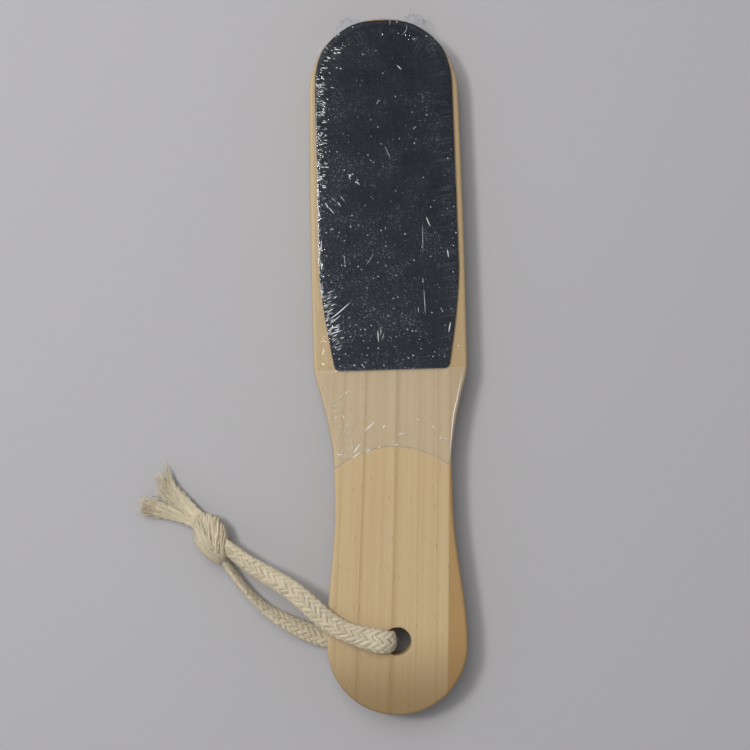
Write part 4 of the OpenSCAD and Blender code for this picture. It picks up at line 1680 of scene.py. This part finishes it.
# %% [markdown]
# ## How high the film lies
# The film rests on the sheet, and past the sheet's edge it falls straight to the wood. At
# the sheet's foot it is held up by the step, so it falls more slowly there. Wrinkles stand
# square to the edge and are highest beside it.

# %% Find the film's height
span_reach = 0.8
foot_slack = 7
coarse_stack = 1.05
fine_stack = 0.75
sheet_edge_points = 90
wrinkle_sizes = ((2.6, 0.1), (3.7, 0.12), (6.1, 0.14))


def distance_to(path, x, y):
    """The least distance from points to the segments of a path."""
    path = np.asarray(path, float)
    best = np.full(np.shape(x), np.inf)
    for start, end in zip(path[:-1], path[1:]):
        run = end - start
        t = np.clip(((x - start[0]) * run[0] + (y - start[1]) * run[1]) / (run @ run), 0, 1)
        best = np.minimum(best, np.hypot(x - start[0] - t * run[0], y - start[1] - t * run[1]))
    return best


def step_height(x, y, stack):
    """The stack's height over the sheet, falling straight to the wood within a reach."""
    edge_y = np.linspace(sheet_foot_y, sheet_end, sheet_edge_points)
    edge = np.stack([sheet_half_w(edge_y), edge_y], axis=1)
    outline = np.concatenate([[[0, sheet_foot_y]], edge])
    away = distance_to(outline, np.abs(x), y)
    inside = (np.abs(x) < sheet_half_w(np.clip(y, sheet_foot_y, sheet_end))) & (
        y > sheet_foot_y) & (y < sheet_end)
    away = np.where(inside, 0, away)
    slack = np.where(y < sheet_foot_y, foot_slack, 1)
    return stack * np.clip(1 - away / (span_reach * slack), 0, 1)


def film_wrinkles(around, inward, draw):
    """Ridges square to the edge: sines of the distance round, sharpened, each patch with
    its own strength and its own reach inwards. A row of the sizes is the distance from
    ridge to ridge and the height."""
    total = np.zeros(np.broadcast_shapes(around.shape, inward.shape))
    for length, height in wrinkle_sizes:
        phase = draw.uniform(0, 2 * np.pi, 4)
        warp = 0.8 * np.sin(around / 9 + phase[0]) + 0.5 * np.sin(around / 4.1 + phase[1])
        ridge = 1 - np.abs(np.sin(np.pi * around / length + warp))
        strength = 0.55 + 0.45 * np.sin(around / 7.3 + phase[2])
        reach = 5 + 3.5 * np.sin(around / 5.7 + phase[3])
        total = total + height * ridge**2 * strength * np.exp(-inward / reach)
    return total


print("the film lies", coarse_stack, "mm over the wood on the coarse sheet")

# %% [markdown]
# ## The film round the head
# The film's surface is a grid. One way runs round the outline from the hem on the right
# to the hem on the left. The other way starts on the paddle's middle line, goes out over
# the upper face, round the edge and back under the lower face. The hem bows towards the
# head in the middle, because the film shrank more there.

# %% Lay the film over the head
film_gap = 0.06
film_edge_r = 0.7
hem_side_y = 62.6
hem_bow = 7.3
hem_fade = 30
stations = 640
top_rings = 34
side_rings = 7
low_rings = 18
ring_power = 0.75
side_power = 0.35
wrinkle_start, wrinkle_full = 2, 4
side_wrinkle = 0.4
painted_sheen_share = 0.035
top_seed, low_seed = 4, 6


def face_of_film(edge, flat_edge, around, shares, base, stack, sign, seed):
    """Rings of one face at shares of the way from the middle line out to the edge, with the
    lay of each point. The hem's bow falls with the square of the share and with the
    distance from the hem."""
    spine = np.stack([np.zeros(stations), np.minimum(edge[:, 1], tip_y)], axis=1)
    rings, lays = [], []
    for share in shares:
        path = mix(spine, flat_edge, share)
        from_hem = np.clip(1 - (edge[:, 1] - hem_side_y) / hem_fade, 0, 1)
        path = path + np.stack([np.zeros(stations), hem_bow * (1 - share**2) * from_hem], axis=1)
        inward = np.linalg.norm(flat_edge - path, axis=1)
        height = step_height(path[:, 0], path[:, 1], stack)
        ripple = film_wrinkles(around, inward, np.random.default_rng(seed))
        ripple = ripple * share_of(inward, wrinkle_start, wrinkle_full)
        # Painted sheen: the film over the bare wood below the sheet gets a little white.
        painted_white = np.where(path[:, 1] > sheet_foot_y, 0.0, painted_sheen_share)
        rings.append(raised(path, base + sign * (film_gap + height + ripple)))
        lays.append(np.stack([around, inward, painted_white], axis=1))
    return rings, lays


def side_of_film(edge, out, around, upper_z, lower_z):
    """Rings round the edge from one face to the other: they bulge by a power of a sine,
    with half of the upper face's own wrinkles."""
    ripple = film_wrinkles(around, np.full(stations, side_wrinkle), np.random.default_rng(top_seed))
    rings = []
    for a in np.pi * np.arange(1, side_rings + 1) / (side_rings + 1):
        bulge = film_edge_r * np.sin(a) ** side_power
        beyond = film_gap - film_edge_r + bulge + 0.5 * ripple * np.sin(a)
        rings.append(raised(edge + out * beyond[:, None],
                            mix(upper_z, lower_z, (1 - np.cos(a)) / 2)))
    lay = np.stack([around, np.zeros(stations), np.zeros(stations)], axis=1)
    return rings, [lay] * side_rings


print("the film's side bulges", film_edge_r, "mm")

# %% [markdown]
# ## The film as one grid
# The rings of the upper face, the side and the lower face follow each other, so they are
# the rows of one grid. A haze makes the film's side and its cut hem show.

# %% Join the faces of the film
face_haze_share = 0.006
side_haze_share = 0.03
hem_haze_share = 0.12
hem_haze_reach = 0.4


def make_film():
    """Upper face, side and lower face as one grid. The haze is thicker on the side and at
    the hem, where it falls as a bell curve of the distance."""
    right_half = right_side(hem_side_y)
    edge = even_path(np.concatenate([right_half, mirror(right_half)[1:]]), stations)
    out = outward_of(edge, False)
    around = lengths_along(edge)
    flat_edge = edge + out * (film_gap - film_edge_r)
    outwards = np.linspace(0, 1, top_rings) ** ring_power
    inwards = np.linspace(1, 0, low_rings) ** ring_power
    top, top_lays = face_of_film(edge, flat_edge, around, outwards, top_z, coarse_stack, 1, top_seed)
    low, low_lays = face_of_film(edge, flat_edge, around, inwards, wood_z, fine_stack, -1, low_seed)
    side, side_lays = side_of_film(edge, out, around, top[-1][:, 2], low[0][:, 2])
    points = np.stack(top + side + low)
    ring_haze_shares = np.concatenate([np.full(top_rings, face_haze_share),
                                       np.full(side_rings, side_haze_share),
                                       np.full(low_rings, face_haze_share)])
    from_hem = np.minimum(around, around[-1] - around)
    haze = ring_haze_shares[:, None] + hem_haze_share * np.exp(-(from_hem / hem_haze_reach) ** 2)
    index = np.arange(len(points) * stations).reshape(-1, stations)
    quads = np.stack([index[:-1, :-1], index[1:, :-1], index[1:, 1:], index[:-1, 1:]], axis=-1)
    lay = np.stack(top_lays + side_lays + low_lays).reshape(-1, 3)
    return points.reshape(-1, 3), quads.reshape(-1, 4), {"lay": lay, "depth": haze.ravel()}


print("the film is a grid of", top_rings + side_rings + low_rings, "by", stations, "points")

# %% [markdown]
# ## The seam
# The bag's end is a flat seam. Most of it is drawn tight against the wood's end, but its
# two corners stand past it as small rippled flaps, so one strip follows the round end and
# swells into an ear at each corner.

# %% Seal the end
seam_half_w = 16.5
ear_middle, ear_half_w, ear_power = 12, 4.4, 0.7
seam_overlap = 0.4
seam_beyond = 0.5
right_ear, left_ear = 2.2, 1.3
seam_lift, seam_droop = 1.2, 0.8
ear_haze_share, ear_edge_share, ear_edge_power = 0.1, 0.25, 8


def make_ears(first):
    """The flat seam past the end: rows from the round end out to a straight line, which is
    reached only at the ears. An ear is a flattened half ellipse, and its ripples are sines
    that grow towards the free edge."""
    rows, columns = 9, 90
    u = np.linspace(-seam_half_w, seam_half_w, columns)
    arc_y = tip_y + np.sqrt(tip_r**2 - u**2) - seam_overlap
    draw = np.random.default_rng(9)
    round_ear = np.sqrt(np.clip(1 - ((np.abs(u) - ear_middle) / ear_half_w) ** 2, 0, 1))
    ear = round_ear**ear_power
    beyond = np.where(u > 0, right_ear, left_ear)
    beyond = beyond + 0.25 * np.sin(u * 1.9) + 0.15 * np.sin(u * 3.7 + 1)
    t = np.linspace(0, 1, rows)[:, None]
    free_y = arc_y + seam_beyond + (head_end + beyond - arc_y - seam_beyond) * ear
    y = mix(arc_y, free_y, t)
    x = np.broadcast_to(u, y.shape) + 0.3 * np.sin(y * 1.3) * t
    ripple = 0.5 * np.sin(u * 2.4 + draw.uniform(0, 6)) + 0.4 * np.sin(u * 4.3 + draw.uniform(0, 6))
    z = mid_z + seam_lift + ripple * t - seam_droop * t
    points = np.stack([x, y, z], axis=-1).reshape(-1, 3)
    index = np.arange(rows * columns).reshape(rows, columns) + first
    quads = np.stack([index[:-1, :-1], index[:-1, 1:], index[1:, 1:], index[1:, :-1]], axis=-1)
    lay = np.stack([x * 2, (1 - t) * np.ones_like(x), np.zeros_like(x)], axis=-1).reshape(-1, 3)
    edge_share = ear_edge_share * np.broadcast_to(t, x.shape) ** ear_edge_power
    haze = (ear_haze_share + edge_share).ravel()
    return points, quads.reshape(-1, 4), {"lay": lay, "depth": haze}


print("the ears stand", right_ear, "and", left_ear, "mm past the wood's end")

# %% [markdown]
# ## Short folds in runs
# Short folds crowd at the left edge in runs. Placing each by hand would be no truer than drawing
# them at random within the run. A row of `edge_runs` is a run's first and last y, how many folds it
# has, how far in they lie, how long they are, their lean in degrees and their greatest painted
# glint. The long folds and the dots come from the tables above.

# %% Gather the folds
edge_runs = (
    (163, 202, 160, 2.9, 1.3, -6, 1),
    (197, 214, 30, 6, 1.3, -35, 1),
    (124, 163, 80, 0.4, 1.5, 84, 1),
    (104, 126, 56, 4.5, 2.2, 30, 1),
    (66, 90, 40, 6.5, 2.6, 48, 0.7),
)
lean_spread = 13
hem_inset, edge_inset = 2, 0.35
half_length_shares = (0.2, 0.6)
least_painted_glint = 0.1
# How strong the painted white glint of each kind of fold is.
bright_painted_glint, faint_painted_glint, dot_painted_glint = 1.0, 0.4, 0.9
dot_half_x, dot_half_y = 0.2, 0.25


def edge_folds(draw):
    """Short folds at the left edge, run by run: paths of two points, and their painted glint."""
    for low, high, count, reach, length, lean, brightest in edge_runs:
        y = draw.uniform(low, high, count)
        edge = np.where(y < sheet_foot_y, half_w(y) - hem_inset, sheet_half_w(y))
        x = -edge + edge_inset + reach * draw.uniform(0, 1, count) ** 1.5
        angle = np.radians(lean + draw.normal(0, lean_spread, count))
        half = length * draw.uniform(*half_length_shares, count)
        step = np.stack([np.cos(angle), np.sin(angle)], axis=1) * half[:, None]
        middle = np.stack([x + half * np.cos(angle), y], axis=1)
        painted_white = mix(least_painted_glint, brightest, draw.uniform(0, 1, count))
        yield from zip(zip(middle - step, middle + step), painted_white)


def placed_folds():
    """The folds of the tables: paths, and their painted glint."""
    folds = [(path, bright_painted_glint) for path in bright_folds]
    folds += [(path, faint_painted_glint) for path in faint_folds]
    for x, y in bright_dots:
        ends = (x - dot_half_x, y + dot_half_y), (x + dot_half_x, y - dot_half_y)
        folds.append((ends, dot_painted_glint))
    return folds


print("short folds at the left edge:", sum(run[2] for run in edge_runs))

# %% [markdown]
# ## A fold's shape
# A fold is a low ridge: a strip of three points across, with the middle one raised and its sides
# sunk into the film, tapering to both ends. Its painted glint goes into `lay`.

# %% Fold the film
fold_rows = 7
fold_width, fold_height, fold_root = 0.4, 0.2, 0.12
fold_width_shares = (0.75, 1.2)
fold_taper_share = 0.98
fold_inward = 30.0
fold_painted_glint_shares = (0.8, 1, 0.8)


def make_folds(first):
    """Folds that stand up from the film: both the width and the height fall to the ends as the
    square root of 1 - t squared. A fold with a brighter painted glint is wider."""
    draw = np.random.default_rng(12)
    t = np.linspace(-1, 1, fold_rows)
    taper = np.sqrt(1 - (fold_taper_share * t) ** 2)[:, None]
    side = np.array([-0.5, 0, 0.5])
    points, quads, lays = [], [], []
    for path, painted_white in placed_folds() + list(edge_folds(draw)):
        middle = even_path(np.array(path, float), fold_rows)
        along = unit(np.gradient(middle, axis=0))
        across = np.stack([along[:, 1], -along[:, 0]], axis=1)
        width = fold_width * (0.5 + 0.5 * painted_white) * draw.uniform(*fold_width_shares)
        xy = middle[:, None] + (taper * width * side)[..., None] * across[:, None]
        base = top_z + film_gap + step_height(xy[..., 0], xy[..., 1], coarse_stack)
        z = base + np.where(side == 0, fold_height * taper, -fold_root)
        index = np.arange(fold_rows * 3).reshape(fold_rows, 3)
        index = index + first + len(points) * fold_rows * 3
        corners = [index[:-1, :-1], index[:-1, 1:], index[1:, 1:], index[1:, :-1]]
        quads.append(np.stack(corners, axis=-1))
        points.append(np.concatenate([xy, z[..., None]], axis=-1))
        # Painted glint: the fold's white share, which the film finish turns into white.
        shown = painted_white * taper * np.array(fold_painted_glint_shares)
        inward = np.full((fold_rows, 3), fold_inward)
        lays.append(np.stack([middle[:, :1] * [1, 1, 1], inward, shown], axis=-1))
    lay = np.stack(lays).reshape(-1, 3)
    return (np.stack(points).reshape(-1, 3), np.stack(quads).reshape(-1, 4),
            {"lay": lay, "depth": np.zeros(len(lay))})


print("a fold is", fold_width, "mm wide and", fold_height, "mm high at most, before its shares")

# %% [markdown]
# ## The sleeve as one piece
# The film, the seam and the folds are one mesh. Where the film meets itself on the middle
# line its points are welded, and Solidify gives it two faces a small distance apart, so
# that it is a closed solid like every other piece.

# %% Join the sleeve
weld_distance = 0.00001
film_wall = 0.00004


def make_sleeve():
    """All three parts in one object, with its wall."""
    points, quads, attributes = make_film()
    parts = [(points, quads, attributes)]
    parts.append(make_ears(len(points)))
    parts.append(make_folds(len(points) + len(parts[1][0])))
    joined = {key: np.concatenate([part[2][key] for part in parts]) for key in attributes}
    sleeve = add_piece("shrunk_film", laid(np.concatenate([part[0] for part in parts])),
                       [part[1] for part in parts], clear_film, joined)
    weld = sleeve.modifiers.new("weld", "WELD")
    weld.merge_threshold = weld_distance
    walls = sleeve.modifiers.new("film", "SOLIDIFY")
    walls.thickness = film_wall
    walls.offset = -1
    return sleeve


sleeve = make_sleeve()
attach(sleeve, "foot_file")
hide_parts("shrink_sleeve")

# %% [markdown]
# ## The floor
# The file lies on a plain pale floor, which is staged, so it isn't part of the object.

# %% Set the floor
floor_size = 3.0
floor_tone = tone(176, 174, 175)
floor_dark = tone(168, 166, 167)
speckle_scale = 900.0
speckle_share = 0.12
floor_mesh = bpy.data.meshes.new("floor")
half_floor = floor_size / 2
corners = [(-half_floor, -half_floor, 0), (half_floor, -half_floor, 0),
           (half_floor, half_floor, 0), (-half_floor, half_floor, 0)]
floor_mesh.from_pydata(corners, [], [(0, 1, 2, 3)])
floor = bpy.data.objects.new("floor", floor_mesh)
bpy.context.scene.collection.objects.link(floor)
floor_finish = Finish("floor")
speckle = floor_finish.noise(floor_finish.place(), speckle_scale, 2.0)
floor_colour = floor_finish.mixed(speckle * speckle_share, floor_tone, floor_dark)
floor_shader = floor_finish.principled({"Base Color": floor_colour, "Roughness": 0.8})
floor_mesh.materials.append(floor_finish.surface(floor_shader))
print("floor:", floor_size, "m square")

# %% [markdown]
# ## Lamps and sky
# Sharp lamps would give hard shadows, so all are area lamps. A broad one gives most of the
# light. A smaller one to the left is what glints in the film's wrinkles, and a dim sky
# fills the shadows. A lamp's row is its place, size, power and whether the film mirrors it.

# %% Set the lamps
sky_low = (0.50, 0.51, 0.53, 1.0)
sky_high = (0.11, 0.11, 0.12, 1.0)
lamp_rows = {
    "broad_lamp": ((-0.35, 0.6, 1.2), 0.9, 8.5, False),
    "left_lamp": ((-0.45, 0.2, 0.85), 0.17, 3.6, True),
    "low_fill": ((0.3, -0.9, 0.9), 0.8, 1.0, False),
}


def add_lamp(name, place, size, power, mirrored):
    """A square area lamp that looks at the middle of the file: its tilt is the angle from
    straight down, and its turn is the way to the middle less a quarter."""
    data = bpy.data.lights.new(name, "AREA")
    data.size = size
    data.energy = power
    lamp = bpy.data.objects.new(name, data)
    bpy.context.scene.collection.objects.link(lamp)
    lamp.location = place
    lamp.visible_glossy = mirrored
    towards = np.array([0, 0, 0]) - np.array(place)
    lamp.rotation_euler = (
        math.acos(-towards[2] / np.linalg.norm(towards)),
        0,
        math.atan2(towards[1], towards[0]) - math.pi / 2,
    )
    return lamp


for lamp_name, lamp_row in lamp_rows.items():
    add_lamp(lamp_name, *lamp_row)

world = bpy.data.worlds.new("world")
world.use_nodes = True
sky = Finish.over(world.node_tree)
height_in_sky = sky.node("ShaderNodeTexCoord", {}, {}, "Generated").part("Z")
sky_tone = sky.mixed(height_in_sky.rise(0.35, 0.95), sky_low, sky_high)
background = sky.node("ShaderNodeBackground", {}, {"Color": sky_tone, "Strength": 1.0})
sky.tree.links.new(background.socket, world.node_tree.nodes["World Output"].inputs["Surface"])
bpy.context.scene.world = world
print("lamps:", ", ".join(lamp_rows))

# %% [markdown]
